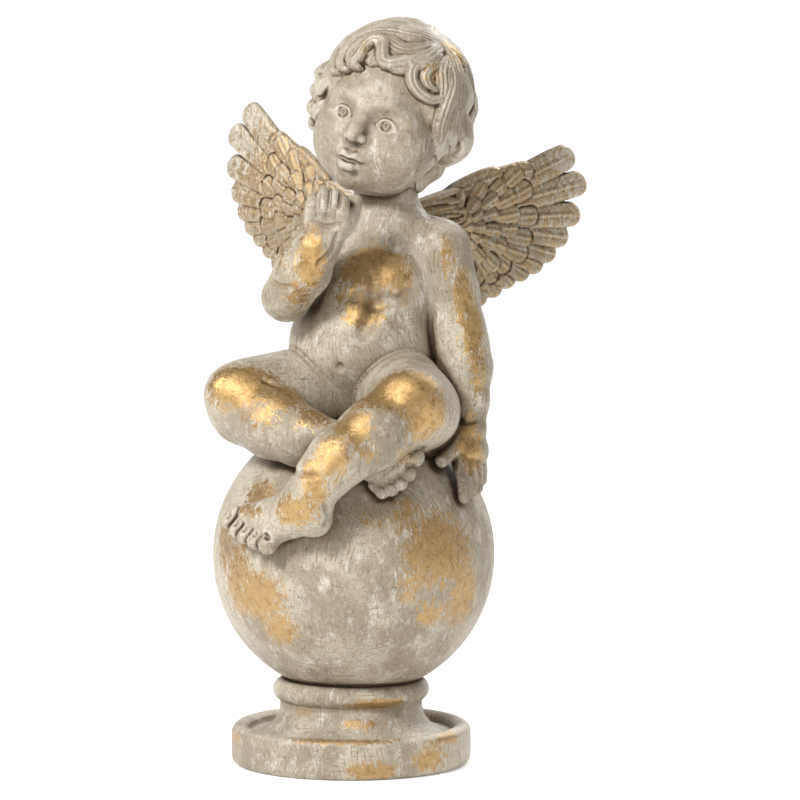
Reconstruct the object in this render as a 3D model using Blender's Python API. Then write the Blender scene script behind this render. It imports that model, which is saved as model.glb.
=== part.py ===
"""Resin angel figurine: a winged child seated on a ball, on a turned plinth.

The figure is made the way cast statuary is: each limb, the head and each wing is its own casting, drawn
from its own mould, pinned with steel dowels and glued. Sizes are in millimetres and are turned into metres
where an object is made. +Z is up, -Y is the figure's front, and the origin is the middle of the underside.
"Left" and "right" are the figure's own, so its right hand is the raised one, on the -X side.
"""

import math

import bmesh
import bpy
from mathutils import Matrix, Vector

MM = 0.001

# Driving dimensions
BALL_RADIUS = 72.0
BALL_CENTRE = Vector((1.5, 0.0, 107.0))
PLINTH_RADIUS = 61.3
PLINTH_BOTTOM = 1.5
PLINTH_LIP_TOP = 20.5
DISH_FLOOR = 15.0
WAIST_RADIUS = 36.2
WAIST_HEIGHT = 29.5
COLLAR_RADIUS = 40.0
COLLAR_HEIGHT = 38.0
COLLAR_TOP = 44.0
FELT_THICKNESS = 1.2
FELT_INSET = 3.0
GLUE_GAP = 0.3
CASTING_GAP = 0.8

# Landmarks of the figure
NECK_BASE = Vector((15.5, 6.0, 271.0))
NECK_TOP = Vector((18.5, 6.0, 292.0))
HEAD_CENTRE = Vector((22.8, 0.0, 337.0))
HEAD_YAW = -26.0
HEAD_NOD = 4.0
HEAD_LEAN = 15.0
SHOULDER_R = Vector((-15.0, 6.0, 260.0))
ELBOW_R = Vector((-32.0, -23.0, 240.0))
WRIST_R = Vector((-12.0, -41.0, 272.0))
SHOULDER_L = Vector((46.0, -1.0, 262.0))
ELBOW_L = Vector((56.5, -8.0, 214.0))
WRIST_L = Vector((61.5, -18.0, 173.0))
HIP_R = Vector((-7.0, 5.0, 192.0))
KNEE_R = Vector((-50.5, -24.0, 187.5))
ANKLE_R = Vector((8.0, -59.0, 166.0))
HIP_L = Vector((20.0, 2.0, 194.0))
KNEE_L = Vector((31.0, -46.0, 187.0))
ANKLE_L = Vector((-20.0, -79.0, 145.0))
WING_ROOT_R = Vector((-4.0, 26.0, 258.0))
WING_ROOT_L = Vector((34.0, 22.0, 258.0))
WING_SWEEP_R = 42.0
WING_SWEEP_L = 25.0
WING_RAISE_R = 16.0
WING_RAISE_L = 0.0

# Dowels: radius and how far each reaches into the two castings that it joins
DOWEL_RADIUS = 2.0
THICK_DOWEL_RADIUS = 4.0
DOWEL_SIDES = 12
ICOSPHERE_DETAIL = 2
TURNED_STEPS = 36


def material(name, colour, roughness, metallic=0.0):
    made = bpy.data.materials.new(name)
    made.use_nodes = True
    shader = made.node_tree.nodes["Principled BSDF"]
    shader.inputs["Base Color"].default_value = (*colour, 1.0)
    shader.inputs["Roughness"].default_value = roughness
    shader.inputs["Metallic"].default_value = metallic
    return made


def link(name, mesh, surface=None):
    obj = bpy.data.objects.new(name, mesh)
    bpy.context.scene.collection.objects.link(obj)
    if surface:
        mesh.materials.append(surface)
    return obj


def hide_as_cutter(obj):
    obj.hide_render = True
    obj.display_type = "WIRE"
    return obj


def shade_round(mesh):
    mesh.shade_smooth()
    mesh.set_sharp_from_angle(angle=math.radians(40))


# ---------------------------------------------------------------- lumps and castings


def ball(point, radius):
    """One ball of a lump: a point and a radius."""
    return (Vector(point), radius)


def add_lump(target, balls, grow):
    """Adds the convex skin round a few balls: a tapered limb from two, a palm or a sole from more."""
    lump = bmesh.new()
    for centre, radius in balls:
        bmesh.ops.create_icosphere(
            lump,
            subdivisions=ICOSPHERE_DETAIL,
            radius=(radius + grow) * MM,
            matrix=Matrix.Translation(centre * MM),
        )
    skin = bmesh.ops.convex_hull(lump, input=lump.verts)
    inside = [v for v in skin["geom_interior"] if isinstance(v, bmesh.types.BMVert)]
    bmesh.ops.delete(lump, geom=inside, context="VERTS")
    bmesh.ops.recalc_face_normals(lump, faces=lump.faces)
    mesh = bpy.data.meshes.new("lump")
    lump.to_mesh(mesh)
    lump.free()
    target.from_mesh(mesh)
    bpy.data.meshes.remove(mesh)


def triangle_count(obj):
    bpy.context.view_layer.update()
    evaluated = obj.evaluated_get(bpy.context.evaluated_depsgraph_get())
    return sum(len(face.vertices) - 2 for face in evaluated.data.polygons)


def fused(name, lumps, voxel, triangles, grow=0.0, surface=None):
    """An object whose lumps are fused into one smooth skin of about that many triangles."""
    build = bmesh.new()
    for balls in lumps:
        add_lump(build, balls, grow)
    mesh = bpy.data.meshes.new(name)
    build.to_mesh(mesh)
    build.free()
    mesh.shade_smooth()
    obj = link(name, mesh, surface)
    remesh = obj.modifiers.new("fuse", "REMESH")
    remesh.mode = "VOXEL"
    remesh.voxel_size = voxel * MM
    remesh.use_smooth_shade = True
    smooth = obj.modifiers.new("blend", "SMOOTH")
    smooth.factor = 0.5
    smooth.iterations = 5
    ratio = min(1.0, triangles / triangle_count(obj))
    obj.modifiers.new("lighten", "DECIMATE").ratio = ratio
    return obj


def cut(obj, cutter):
    modifier = obj.modifiers.new("cut_" + cutter.name, "BOOLEAN")
    modifier.operation = "DIFFERENCE"
    modifier.object = cutter


def clearance_of(name, lumps, voxel, triangles):
    """The same skin grown by the gap between castings, to be cut out of a neighbour."""
    return hide_as_cutter(fused(name + "_clearance", lumps, voxel, triangles, CASTING_GAP))


# ---------------------------------------------------------------- turned parts


def turned(name, profile, surface, centre=Vector()):
    """A solid turned about Z from (radius, height) points, listed from the top axis point to the bottom one."""
    build = bmesh.new()
    ring = [build.verts.new((r * MM, 0.0, z * MM)) for r, z in profile]
    edges = [build.edges.new(pair) for pair in zip(ring, ring[1:])]
    bmesh.ops.spin(
        build,
        geom=ring + edges,
        cent=(0.0, 0.0, 0.0),
        axis=(0.0, 0.0, 1.0),
        angle=math.tau,
        steps=TURNED_STEPS,
        use_merge=True,
    )
    bmesh.ops.remove_doubles(build, verts=build.verts, dist=0.00001)
    bmesh.ops.recalc_face_normals(build, faces=build.faces)
    mesh = bpy.data.meshes.new(name)
    build.to_mesh(mesh)
    build.free()
    shade_round(mesh)
    obj = link(name, mesh, surface)
    obj.location = centre * MM
    return obj


def arc(centre, radii, start, end, count):
    """Points of an elliptical arc in the (radius, height) plane, with angles in degrees."""
    span = [math.radians(start + (end - start) * i / count) for i in range(count + 1)]
    return [(centre[0] + radii[0] * math.cos(a), centre[1] + radii[1] * math.sin(a)) for a in span]


def plinth_profile():
    """Collar, waist, dished top and rounded rim, from the top of the axis to the bottom."""
    collar = arc((COLLAR_RADIUS - 6.0, COLLAR_HEIGHT), (6.0, COLLAR_TOP - COLLAR_HEIGHT), 90, -70, 7)
    cove = arc((52.0, WAIST_HEIGHT + 1.0), (52.0 - WAIST_RADIUS, 15.0), 184, 262, 6)
    lip = arc((PLINTH_RADIUS - 4.0, PLINTH_LIP_TOP - 4.0), (4.0, 4.0), 110, 0, 5)
    foot = arc((PLINTH_RADIUS - 4.0, PLINTH_BOTTOM + 4.0), (4.0, 4.0), 0, -90, 4)
    return [(0.0, COLLAR_TOP), *collar, *cove, *lip, *foot, (0.0, PLINTH_BOTTOM)]


def sphere(name, radius, surface=None, rings=16):
    """The ball, or a slightly larger one that cuts its seat."""
    profile = arc((0.0, 0.0), (radius, radius), 90, -90, rings)
    return turned(name, profile, surface, BALL_CENTRE)


# ---------------------------------------------------------------- dowels


def rod(name, start, end, radius, surface=None):
    axis = end - start
    build = bmesh.new()
    bmesh.ops.create_cone(
        build,
        cap_ends=True,
        segments=DOWEL_SIDES,
        radius1=radius * MM,
        radius2=radius * MM,
        depth=axis.length * MM,
    )
    mesh = bpy.data.meshes.new(name)
    build.to_mesh(mesh)
    build.free()
    shade_round(mesh)
    obj = link(name, mesh, surface)
    obj.location = (start + end) / 2 * MM
    obj.rotation_euler = axis.to_track_quat("Z", "Y").to_euler()
    return obj


def dowel(name, start, end, radius, castings, surface):
    """A steel dowel with its two glued sockets, one in each casting."""
    rod(name, start, end, radius, surface)
    reach = (end - start).normalized() * GLUE_GAP
    socket = rod(name + "_socket", start - reach, end + reach, radius + GLUE_GAP)
    hide_as_cutter(socket)
    for casting in castings:
        cut(casting, socket)


# ---------------------------------------------------------------- shapes of the castings


def torso_lumps():
    return [
        [ball((-9, 10, 190), 23), ball((21, 8, 190), 23), ball((6, 15, 188), 24)],
        [ball((0.5, 2, 214), 32), ball((12, 1, 213), 31)],
        [ball((18, 7, 204), 27), ball((0, 9, 204), 27)],
        [ball((6, 6, 238), 25), ball((19, 4, 238), 25), ball((8, 8, 256), 18), ball((22, 6, 256), 18)],
        [ball(NECK_BASE, 13), ball(SHOULDER_R + Vector((4, 1, 2)), 12)],
        [ball(NECK_BASE, 13), ball(SHOULDER_L + Vector((-5, 2, 2)), 12.5)],
        [ball(NECK_BASE, 16), ball(NECK_TOP, 15)],
    ]


def in_head(point, radius):
    """A ball placed in the head's own frame: x to its left, y to its back, z to its crown."""
    turn = (
        Matrix.Rotation(math.radians(HEAD_LEAN), 3, "Y")
        @ Matrix.Rotation(math.radians(HEAD_YAW), 3, "Z")
        @ Matrix.Rotation(math.radians(HEAD_NOD), 3, "X")
    )
    return ball(HEAD_CENTRE + turn @ Vector(point), radius)


def head_lumps():
    """A child's head with its hair as one mass, which is fuller at the temples and the nape."""
    lumps = [
        [in_head((-3, 6, 4), 38.4), in_head((-1, 13, 2), 35.5), in_head((-10, -10, 20), 24)],
        [in_head((0, -8, 2), 30), in_head((-14, -13, -20), 19), in_head((14, -13, -20), 19)],
        [in_head((-14, -13, -20), 19), in_head((14, -13, -20), 19), in_head((0, -24, -32), 9.5)],
        [in_head((0, -31, -16), 6), in_head((0, -30, -3), 4)],
        [in_head((-17, 16, -26), 15), in_head((19, 14, -25), 16), in_head((0, 22, -18), 20)],
    ]
    lumps.append([in_head((-36, -9, 8), 8), in_head((-33, -5, -8), 8)])
    lumps.append([in_head((29, 9, -4), 12), in_head((28, 12, -20), 10)])
    return lumps


def finger(start, end, thick, tip):
    return [ball(start, thick), ball(end, tip)]


def right_arm_lumps():
    """The raised arm, folded at the elbow, with the back of the hand to the front."""
    calf = Vector((-23, -34, 255))
    lumps = [
        [ball(SHOULDER_R, 13.5), ball(ELBOW_R, 12.5)],
        [ball(ELBOW_R + Vector((0, -2, 0)), 12.5), ball(calf, 14)],
        [ball(calf, 14), ball(WRIST_R, 8.5)],
        [ball((-16, -43, 277), 6), ball((-4, -43, 277), 6.5), ball((-17, -46, 283), 5), ball((-3, -45, 283), 5)],
        finger((-1, -42, 279), (3, -38, 288), 5, 4),
    ]
    for x, length in ((-19, 11), (-13, 13), (-7.5, 13), (-2.5, 10)):
        lumps.append(finger((x, -48, 283), (x + 1, -44, 283 + length), 3.2, 2.8))
    return lumps


def left_arm_lumps():
    """The arm that leans on the ball, with the thumb spread along the thigh."""
    forearm = Vector((58.5, -11, 203))
    knuckles = (Vector((55, -28, 158)), Vector((59, -25, 157)), Vector((62, -20, 157)), Vector((64, -15, 157)))
    tips = (Vector((57, -38, 140)), Vector((61, -34, 142)), Vector((64, -28, 144)), Vector((66, -20, 147)))
    return [
        [ball(SHOULDER_L, 15.5), ball(ELBOW_L + Vector((-1, 1, 6)), 13.5)],
        [ball(ELBOW_L, 14), ball(forearm, 13)],
        [ball(forearm, 13), ball(WRIST_L, 6)],
        [ball(WRIST_L, 6), ball((57, -24, 159), 6), ball((63.5, -17, 158), 6), ball((55, -23, 172), 5)],
        finger((57, -22, 168), (43, -40, 157), 5, 3.2),
        *(finger(knuckle, tip, 4.2, 3) for knuckle, tip in zip(knuckles, tips)),
    ]


def toes(first, last, pointing, radii):
    """A row of toes from the first to the last, each a short stub that points the same way."""
    count = len(radii)
    row = []
    for i, radius in enumerate(radii):
        root = first.lerp(last, i / (count - 1))
        row.append([ball(root - pointing * 5, radius), ball(root, radius)])
    return row


def right_leg_lumps():
    """The leg tucked under, knee out to the side."""
    calf = Vector((-24, -50, 172))
    return [
        [ball(HIP_R, 23), ball(KNEE_R, 22)],
        [ball(KNEE_R + Vector((0.5, -1, -2)), 21.5), ball(calf, 14.5)],
        [ball(calf, 14.5), ball(ANKLE_R, 10)],
        [ball(ANKLE_R, 9.5), ball((14, -62, 156), 8), ball((23, -57, 156), 7.5), ball((18, -62, 151), 6.5)],
        *toes(Vector((31, -55, 158)), Vector((21, -63, 148)), Vector((0.8, 0.1, -0.6)), (4, 3.3, 3.1, 2.9, 2.7)),
    ]


def left_leg_lumps():
    """The leg crossed over in front, with its foot against the ball."""
    calf = Vector((-5, -76, 164))
    heel = Vector((-17, -77, 133))
    return [
        [ball(HIP_L, 23), ball(KNEE_L, 22)],
        [ball(KNEE_L + Vector((-4, -6, -3)), 19), ball(calf, 14.5)],
        [ball(calf, 14.5), ball(ANKLE_L, 11.5)],
        [ball(ANKLE_L, 11), ball(heel, 8.5), ball((-40, -70, 132), 8), ball((-36, -71, 126), 7)],
        *toes(Vector((-59, -47, 129)), Vector((-40, -68, 121)), Vector((-0.6, 0.1, -0.7)), (2.8, 3, 3.2, 3.4, 4)),
    ]


# A wing is laid out in its own plane, from its root: out along the wing and up. Its feathers fan from a hub.
WING_HUB = Vector((20.0, 15.0))
WING_CORE = (
    ((0, 2, 9), (9, 27, 5), (24, 10, 6), (4, -12, 5)),
    ((9, 27, 5), (30, 34, 4.5), (48, 38, 3.5), (46, 6, 3), (22, -12, 4)),
)
FEATHER_ROWS = (
    # count, longest, shortest, half width, how far the row stands forward
    (10, 87.0, 45.0, 7.6, 0.0),
    (7, 50.0, 26.0, 6.4, -2.6),
)
FAN_FIRST = 25.0
FAN_LAST = -66.0
FEATHER_HALF_THICKNESS = 1.6
WING_BOW = 7.0


def wing_frame(root, side, sweep, raise_angle):
    """The wing's plane: side is +1 for the figure's left wing and -1 for its right."""
    turn = math.radians(sweep)
    lift = math.radians(raise_angle)
    outward = Vector((side * math.cos(turn), math.sin(turn), 0.0))
    through = Vector((-side * math.sin(turn), math.cos(turn), 0.0))
    along = outward * math.cos(lift) + Vector((0, 0, math.sin(lift)))
    upward = outward * -math.sin(lift) + Vector((0, 0, math.cos(lift)))

    def place(out, up, back):
        return root + along * out + upward * up + through * back

    return place


def feather(place, angle, length, half_width, forward):
    """One flat blade: narrow at the hub, widest near its round tip, and bowed back along its length."""
    direction = Vector((math.cos(angle), math.sin(angle)))
    across = Vector((-direction.y, direction.x))
    blade = []
    for share, width in ((0.12, 0.45), (0.5, 0.85), (0.86, 1.0), (1.0, 0.5)):
        middle = WING_HUB + direction * (length - FEATHER_HALF_THICKNESS) * share
        back = forward + WING_BOW * share * share
        for edge in (-1, 1):
            point = middle + across * edge * (half_width * width - FEATHER_HALF_THICKNESS)
            blade.append(ball(place(point.x, point.y, back), FEATHER_HALF_THICKNESS))
    return blade


def wing_lumps(root, side, sweep, raise_angle):
    place = wing_frame(root, side, sweep, raise_angle)
    lumps = [[ball(place(out, up, 0.0), radius) for out, up, radius in plate] for plate in WING_CORE]
    for count, longest, shortest, half_width, forward in FEATHER_ROWS:
        for i in range(count):
            share = i / (count - 1)
            angle = math.radians(FAN_FIRST + (FAN_LAST - FAN_FIRST) * share)
            length = shortest + (longest - shortest) * (0.5 + 0.5 * math.cos(math.pi * share))
            lumps.append(feather(place, angle, length, half_width * (1 - 0.2 * share), forward))
    return lumps


# ---------------------------------------------------------------- assembly


def clear_scene():
    for obj in list(bpy.data.objects):
        bpy.data.objects.remove(obj, do_unlink=True)


def build():
    clear_scene()
    paint = material("stone_paint", (0.62, 0.56, 0.44), 0.6)
    felt = material("felt", (0.16, 0.15, 0.13), 0.95)
    steel = material("steel", (0.55, 0.55, 0.56), 0.35, 1.0)

    felt_radius = PLINTH_RADIUS - FELT_INSET
    turned("felt_sheet", [(0, FELT_THICKNESS), (felt_radius, FELT_THICKNESS), (felt_radius, 0), (0, 0)], felt)
    plinth = turned("plinth", plinth_profile(), paint)
    orb = sphere("ball", BALL_RADIUS, paint)
    seat = hide_as_cutter(sphere("ball_seat", BALL_RADIUS + GLUE_GAP))
    cut(plinth, seat)

    shapes = {
        "torso": (torso_lumps(), 1.6, 1000),
        "head": (head_lumps(), 1.6, 1000),
        "right_leg": (right_leg_lumps(), 1.2, 900),
        "left_leg": (left_leg_lumps(), 1.2, 900),
        "right_arm": (right_arm_lumps(), 1.0, 900),
        "left_arm": (left_arm_lumps(), 1.0, 900),
        "right_wing": (wing_lumps(WING_ROOT_R, -1, WING_SWEEP_R, WING_RAISE_R), 1.1, 1300),
        "left_wing": (wing_lumps(WING_ROOT_L, 1, WING_SWEEP_L, WING_RAISE_L), 1.1, 1300),
    }
    castings = {name: fused(name, *shape, surface=paint) for name, shape in shapes.items()}
    clearances = {name: clearance_of(name, *shapes[name]) for name in shapes if "wing" not in name}
    neighbours = {
        "torso": (),
        "head": ("torso",),
        "right_leg": ("torso",),
        "left_leg": ("torso", "right_leg"),
        "right_arm": ("torso", "head", "right_leg"),
        "left_arm": ("torso", "left_leg"),
        "right_wing": ("torso", "right_arm", "head"),
        "left_wing": ("torso", "left_arm", "head"),
    }
    for name, others in neighbours.items():
        for other in others:
            cut(castings[name], clearances[other])
        if name in ("torso", "right_leg", "left_leg", "left_arm"):
            cut(castings[name], seat)

    def pin(name, start, end, first, second, radius=DOWEL_RADIUS):
        pair = [{"plinth": plinth, "ball": orb}.get(part) or castings[part] for part in (first, second)]
        dowel(name, Vector(start), Vector(end), radius, pair, steel)

    pin("ball_dowel", (1.5, 0, 22), (1.5, 0, 56), "plinth", "ball", THICK_DOWEL_RADIUS)
    pin("seat_dowel_front", (6, -4, 164), (6, -4, 196), "ball", "torso", THICK_DOWEL_RADIUS)
    pin("seat_dowel_rear", (6, 20, 160), (6, 20, 192), "ball", "torso", THICK_DOWEL_RADIUS)
    pin("neck_dowel", (17, 4, 280), (20, 2, 324), "torso", "head", THICK_DOWEL_RADIUS)
    pin("right_shoulder_dowel", (-2, 7, 258), (-22, -6, 252), "torso", "right_arm")
    pin("left_shoulder_dowel", (34, 2, 258), (52, -3, 246), "torso", "left_arm")
    pin("right_hip_dowel", (-6, 8, 194), (-42, -16, 190), "torso", "right_leg")
    pin("left_hip_dowel", (16, 6, 196), (28, -34, 190), "torso", "left_leg")
    for side, root, away in (("right", WING_ROOT_R, (-6, 8)), ("left", WING_ROOT_L, (9, 4))):
        for place, height in (("upper", 6), ("lower", -8)):
            start = root + Vector((-away[0] * 0.9, -away[1] * 0.6 - 6, height))
            end = root + Vector((away[0] * 1.1, away[1] * 0.8, height))
            pin(f"{side}_wing_{place}_dowel", start, end, "torso", f"{side}_wing")


build()
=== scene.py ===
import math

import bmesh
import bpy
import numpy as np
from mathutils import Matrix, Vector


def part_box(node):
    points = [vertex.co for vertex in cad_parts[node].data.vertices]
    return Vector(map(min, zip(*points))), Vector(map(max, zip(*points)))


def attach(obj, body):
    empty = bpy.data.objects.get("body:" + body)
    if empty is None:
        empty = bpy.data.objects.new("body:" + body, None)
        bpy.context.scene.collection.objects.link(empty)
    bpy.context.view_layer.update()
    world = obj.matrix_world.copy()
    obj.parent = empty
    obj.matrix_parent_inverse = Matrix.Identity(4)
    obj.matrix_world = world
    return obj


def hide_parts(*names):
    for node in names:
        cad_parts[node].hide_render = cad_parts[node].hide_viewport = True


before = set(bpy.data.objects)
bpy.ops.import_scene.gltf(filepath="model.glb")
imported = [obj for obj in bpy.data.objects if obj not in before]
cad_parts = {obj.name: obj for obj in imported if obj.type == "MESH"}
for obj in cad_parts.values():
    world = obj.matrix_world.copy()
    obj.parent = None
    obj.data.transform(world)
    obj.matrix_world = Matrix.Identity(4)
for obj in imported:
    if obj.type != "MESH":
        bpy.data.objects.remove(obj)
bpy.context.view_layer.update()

# Looks of the resin angel figurine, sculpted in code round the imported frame.
#
# The figure and its wings are modelled in clay: a block of voxels that holds the distance to the surface. Simple
# shapes are added to it and carved out of it, and then it is turned into a fine mesh. The ball and the plinth are
# turned about an axis. Sculpting is done in millimetres, in the frame of the CAD model, and each mesh is written in
# metres.

MM = 0.001
FAR = 1000.0  # farther than any surface
REACH = 9.0  # how far round a shape its distance is worked out
TINY = 1e-9
BODY_STEP = 0.7  # the sizes of the voxels
HEAD_STEP = 0.5
WING_STEP = 0.6

ball_low, ball_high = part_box("ball")
_, plinth_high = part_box("plinth")
BALL_RADIUS = (ball_high[0] - ball_low[0]) / 2 / MM
BALL_CENTRE = np.array(
    [(ball_low[0] + ball_high[0]) / 2, (ball_low[1] + ball_high[1]) / 2, ball_high[2] - BALL_RADIUS * MM]
) / MM
PLINTH_RADIUS = plinth_high[0] / MM
FELT_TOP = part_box("felt_sheet")[1][2] / MM


# ---------------------------------------------------------------- clay


def soft_min(a, b, blend):
    """The smaller of two distances, rounded over where they are about equal."""
    overlap = np.maximum(blend - np.abs(a - b), 0.0) / blend
    return np.minimum(a, b) - overlap * overlap * blend * 0.25


class Shape:
    """A distance function of x, y and z, with the box that it fills."""

    def __init__(self, distance, low, high):
        self.distance = distance
        self.low = np.array(low, float)
        self.high = np.array(high, float)


class Clay:
    """A block of voxels that holds the distance to a surface, negative inside it."""

    def __init__(self, low, high, step):
        self.low = np.array(low, np.float32)
        self.step = step
        count = np.ceil((np.array(high) - low) / step).astype(int) + 1
        self.field = np.full(count, FAR, np.float32)

    def window(self, shape):
        """The slices of the voxels round a shape, and their x, y and z."""
        first = np.floor((shape.low - REACH - self.low) / self.step).astype(int)
        last = np.ceil((shape.high + REACH - self.low) / self.step).astype(int)
        first = np.clip(first, 0, self.field.shape)
        last = np.clip(last, first, self.field.shape)
        part = tuple(slice(a, b) for a, b in zip(first, last))
        axes = [
            self.low[i] + np.float32(self.step) * np.arange(first[i], last[i], dtype=np.float32)
            for i in range(3)
        ]
        return part, np.meshgrid(*axes, indexing="ij", sparse=True)

    def add(self, shape, blend, sign=1):
        part, (x, y, z) = self.window(shape)
        if self.field[part].size:
            self.field[part] = sign * soft_min(sign * self.field[part], shape.distance(x, y, z), blend)

    def carve(self, shape, blend):
        self.add(shape, blend, -1)

    def grid(self):
        """The x, y and z of every voxel."""
        axes = [self.low[i] + self.step * np.arange(self.field.shape[i]) for i in range(3)]
        return np.meshgrid(*axes, indexing="ij", sparse=True)

    def join(self, other, blend, centre=None, soft=0.0, spread=1.0):
        """Adds another block of the same size. The blend is softer near the centre."""
        width = blend
        if centre:
            everywhere = Shape(None, self.low, self.low + self.step * np.array(self.field.shape))
            _, (x, y, z) = self.window(everywhere)
            away = (x - centre[0]) ** 2 + (y - centre[1]) ** 2 + (z - centre[2]) ** 2
            width = np.maximum(np.float32(blend), blend + (soft - blend) * np.exp(-away / spread**2))
        self.field = soft_min(self.field, other.field, width).astype(np.float32)

    def at(self, points):
        """The distance at any points, read between the voxels."""
        place = (points - self.low) / self.step
        place = np.clip(place, 0, np.array(self.field.shape) - 1.001)
        base = place.astype(int)
        part = place - base
        total = np.zeros(len(points))
        for corner in np.ndindex(2, 2, 2):
            weight = np.prod(np.where(corner, part, 1 - part), axis=1)
            total += weight * self.field[tuple((base + corner).T)]
        return total

    def normals_at(self, points):
        """The outward direction at any points."""
        slope = np.empty((len(points), 3))
        for axis in range(3):
            reach = np.zeros(3)
            reach[axis] = self.step * 0.75
            slope[:, axis] = self.at(points + reach) - self.at(points - reach)
        return slope / np.maximum(np.linalg.norm(slope, axis=1, keepdims=True), TINY)


CORNERS = np.array(list(np.ndindex(2, 2, 2)))
CELL_EDGES = [
    (a, b) for a in range(8) for b in range(a + 1, 8) if np.abs(CORNERS[a] - CORNERS[b]).sum() == 1
]


def skin(clay):
    """The surface of the clay as points and four-sided faces, with one point in each cell that it crosses."""
    field = clay.field
    solid = field < 0
    size = np.array(field.shape) - 1
    filled = np.zeros(size, np.uint8)
    for i, j, k in CORNERS:
        filled += solid[i : i + size[0], j : j + size[1], k : k + size[2]]
    cells = np.argwhere((filled > 0) & (filled < 8))
    values = np.stack([field[tuple((cells + corner).T)] for corner in CORNERS], axis=1)
    total = np.zeros((len(cells), 3))
    count = np.zeros(len(cells))
    for a, b in CELL_EDGES:
        crossed = (values[:, a] < 0) != (values[:, b] < 0)
        gap = np.where(crossed, values[:, a] - values[:, b], 1.0)
        share = np.where(crossed, values[:, a] / gap, 0.0)
        spot = CORNERS[a] + share[:, None] * (CORNERS[b] - CORNERS[a])
        total += np.where(crossed[:, None], spot, 0.0)
        count += crossed
    points = clay.low + clay.step * (cells + total / count[:, None])
    number = np.full(size, -1, np.int32)
    number[tuple(cells.T)] = np.arange(len(cells))
    faces = []
    for axis in range(3):
        low_side = np.take(solid, range(size[axis]), axis=axis)
        high_side = np.take(solid, range(1, size[axis] + 1), axis=axis)
        edge = np.argwhere(low_side != high_side)
        u, v = np.eye(3, dtype=int)[[(axis + 1) % 3, (axis + 2) % 3]]
        ring = [edge, edge - u, edge - u - v, edge - v]
        kept = np.all([((cell >= 0) & (cell < size)).all(axis=1) for cell in ring], axis=0)
        quad = np.stack([number[tuple(cell[kept].T)] for cell in ring], axis=1)
        outward = low_side[tuple(edge[kept].T)]
        faces.append(np.where(outward[:, None], quad, quad[:, ::-1]))
    return points, np.concatenate(faces)


# ---------------------------------------------------------------- shapes to sculpt with


def limb(*joints, blend=0.0):
    """A chain of tapered round limbs through (x, y, z, radius) joints."""
    joints = np.array(joints, np.float32)

    def distance(x, y, z):
        best = None
        for a, b in zip(joints, joints[1:]):
            run = b[:3] - a[:3]
            px, py, pz = x - a[0], y - a[1], z - a[2]
            share = np.clip((px * run[0] + py * run[1] + pz * run[2]) / (run @ run), 0, 1)
            away = (px - share * run[0]) ** 2 + (py - share * run[1]) ** 2 + (pz - share * run[2]) ** 2
            d = np.sqrt(away) - (a[3] + share * (b[3] - a[3]))
            if best is None:
                best = d
            else:
                best = soft_min(best, d, blend) if blend else np.minimum(best, d)
        return best

    widest = joints[:, 3].max()
    return Shape(distance, joints[:, :3].min(0) - widest, joints[:, :3].max(0) + widest)


def lump(x, y, z, radius):
    def distance(px, py, pz):
        return np.sqrt((px - x) ** 2 + (py - y) ** 2 + (pz - z) ** 2) - radius

    return Shape(distance, np.array([x, y, z]) - radius, np.array([x, y, z]) + radius)


def egg(centre, radii):
    """An ellipsoid along the axes."""
    cx, cy, cz = centre
    rx, ry, rz = radii

    def distance(x, y, z):
        a, b, c = x - cx, y - cy, z - cz
        scaled = np.sqrt((a / rx) ** 2 + (b / ry) ** 2 + (c / rz) ** 2)
        slope = np.sqrt((a / rx**2) ** 2 + (b / ry**2) ** 2 + (c / rz**2) ** 2)
        return scaled * (scaled - 1) / np.maximum(slope, 1e-4)

    widest = max(radii)
    return Shape(distance, np.array(centre) - widest, np.array(centre) + widest)


def smooth_path(points, count):
    """count points along a smooth curve through the given ones (Catmull-Rom)."""
    points = np.array(points, float)
    ends = np.concatenate([[2 * points[0] - points[1]], points, [2 * points[-1] - points[-2]]])
    path = []
    for t in np.linspace(0, len(points) - 1, count):
        i = min(int(t), len(points) - 2)
        s = t - i
        a, b, c, d = ends[i : i + 4]
        bend, twist = 2 * a - 5 * b + 4 * c - d, 3 * b - a - 3 * c + d
        path.append(0.5 * (2 * b + (c - a) * s + bend * s**2 + twist * s**3))
    return np.array(path)


def tube(path, radii):
    """A limb through points, with a radius for each."""
    return limb(*np.column_stack([path, radii]))


# ---------------------------------------------------------------- meshes and marks


def new_object(name, mesh):
    obj = bpy.data.objects.new(name, mesh)
    bpy.context.scene.collection.objects.link(obj)
    return obj


def quad_mesh(name, points, faces, normals, marks):
    """A smooth mesh of four-sided faces, with a number per point for each mark, and its open ends closed."""
    mesh = bpy.data.meshes.new(name)
    mesh.vertices.add(len(points))
    mesh.vertices.foreach_set("co", (np.asarray(points) * MM).astype(np.float32).ravel())
    mesh.loops.add(faces.size)
    mesh.loops.foreach_set("vertex_index", faces.astype(np.int32).ravel())
    mesh.polygons.add(len(faces))
    mesh.polygons.foreach_set("loop_start", np.arange(0, faces.size, 4, dtype=np.int32))
    mesh.update(calc_edges=True)
    mesh.shade_smooth()
    for mark, values in marks.items():
        layer = mesh.attributes.new(mark, "FLOAT", "POINT")
        layer.data.foreach_set("value", np.asarray(values, np.float32))
    close_ends(mesh, normals)
    return mesh


def close_ends(mesh, normals):
    """Fills each open end with one face, and keeps the given normals everywhere else."""
    open_count = len(mesh.polygons)
    build = bmesh.new()
    build.from_mesh(mesh)
    rim = [edge for edge in build.edges if edge.is_boundary]
    if rim:
        bmesh.ops.holes_fill(build, edges=rim, sides=0)
        build.to_mesh(mesh)
    build.free()
    corner = np.empty(len(mesh.loops), np.int32)
    mesh.loops.foreach_get("vertex_index", corner)
    custom = normals[corner]
    custom[open_count * 4 :] = 0.0
    mesh.normals_split_custom_set(custom)


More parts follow.
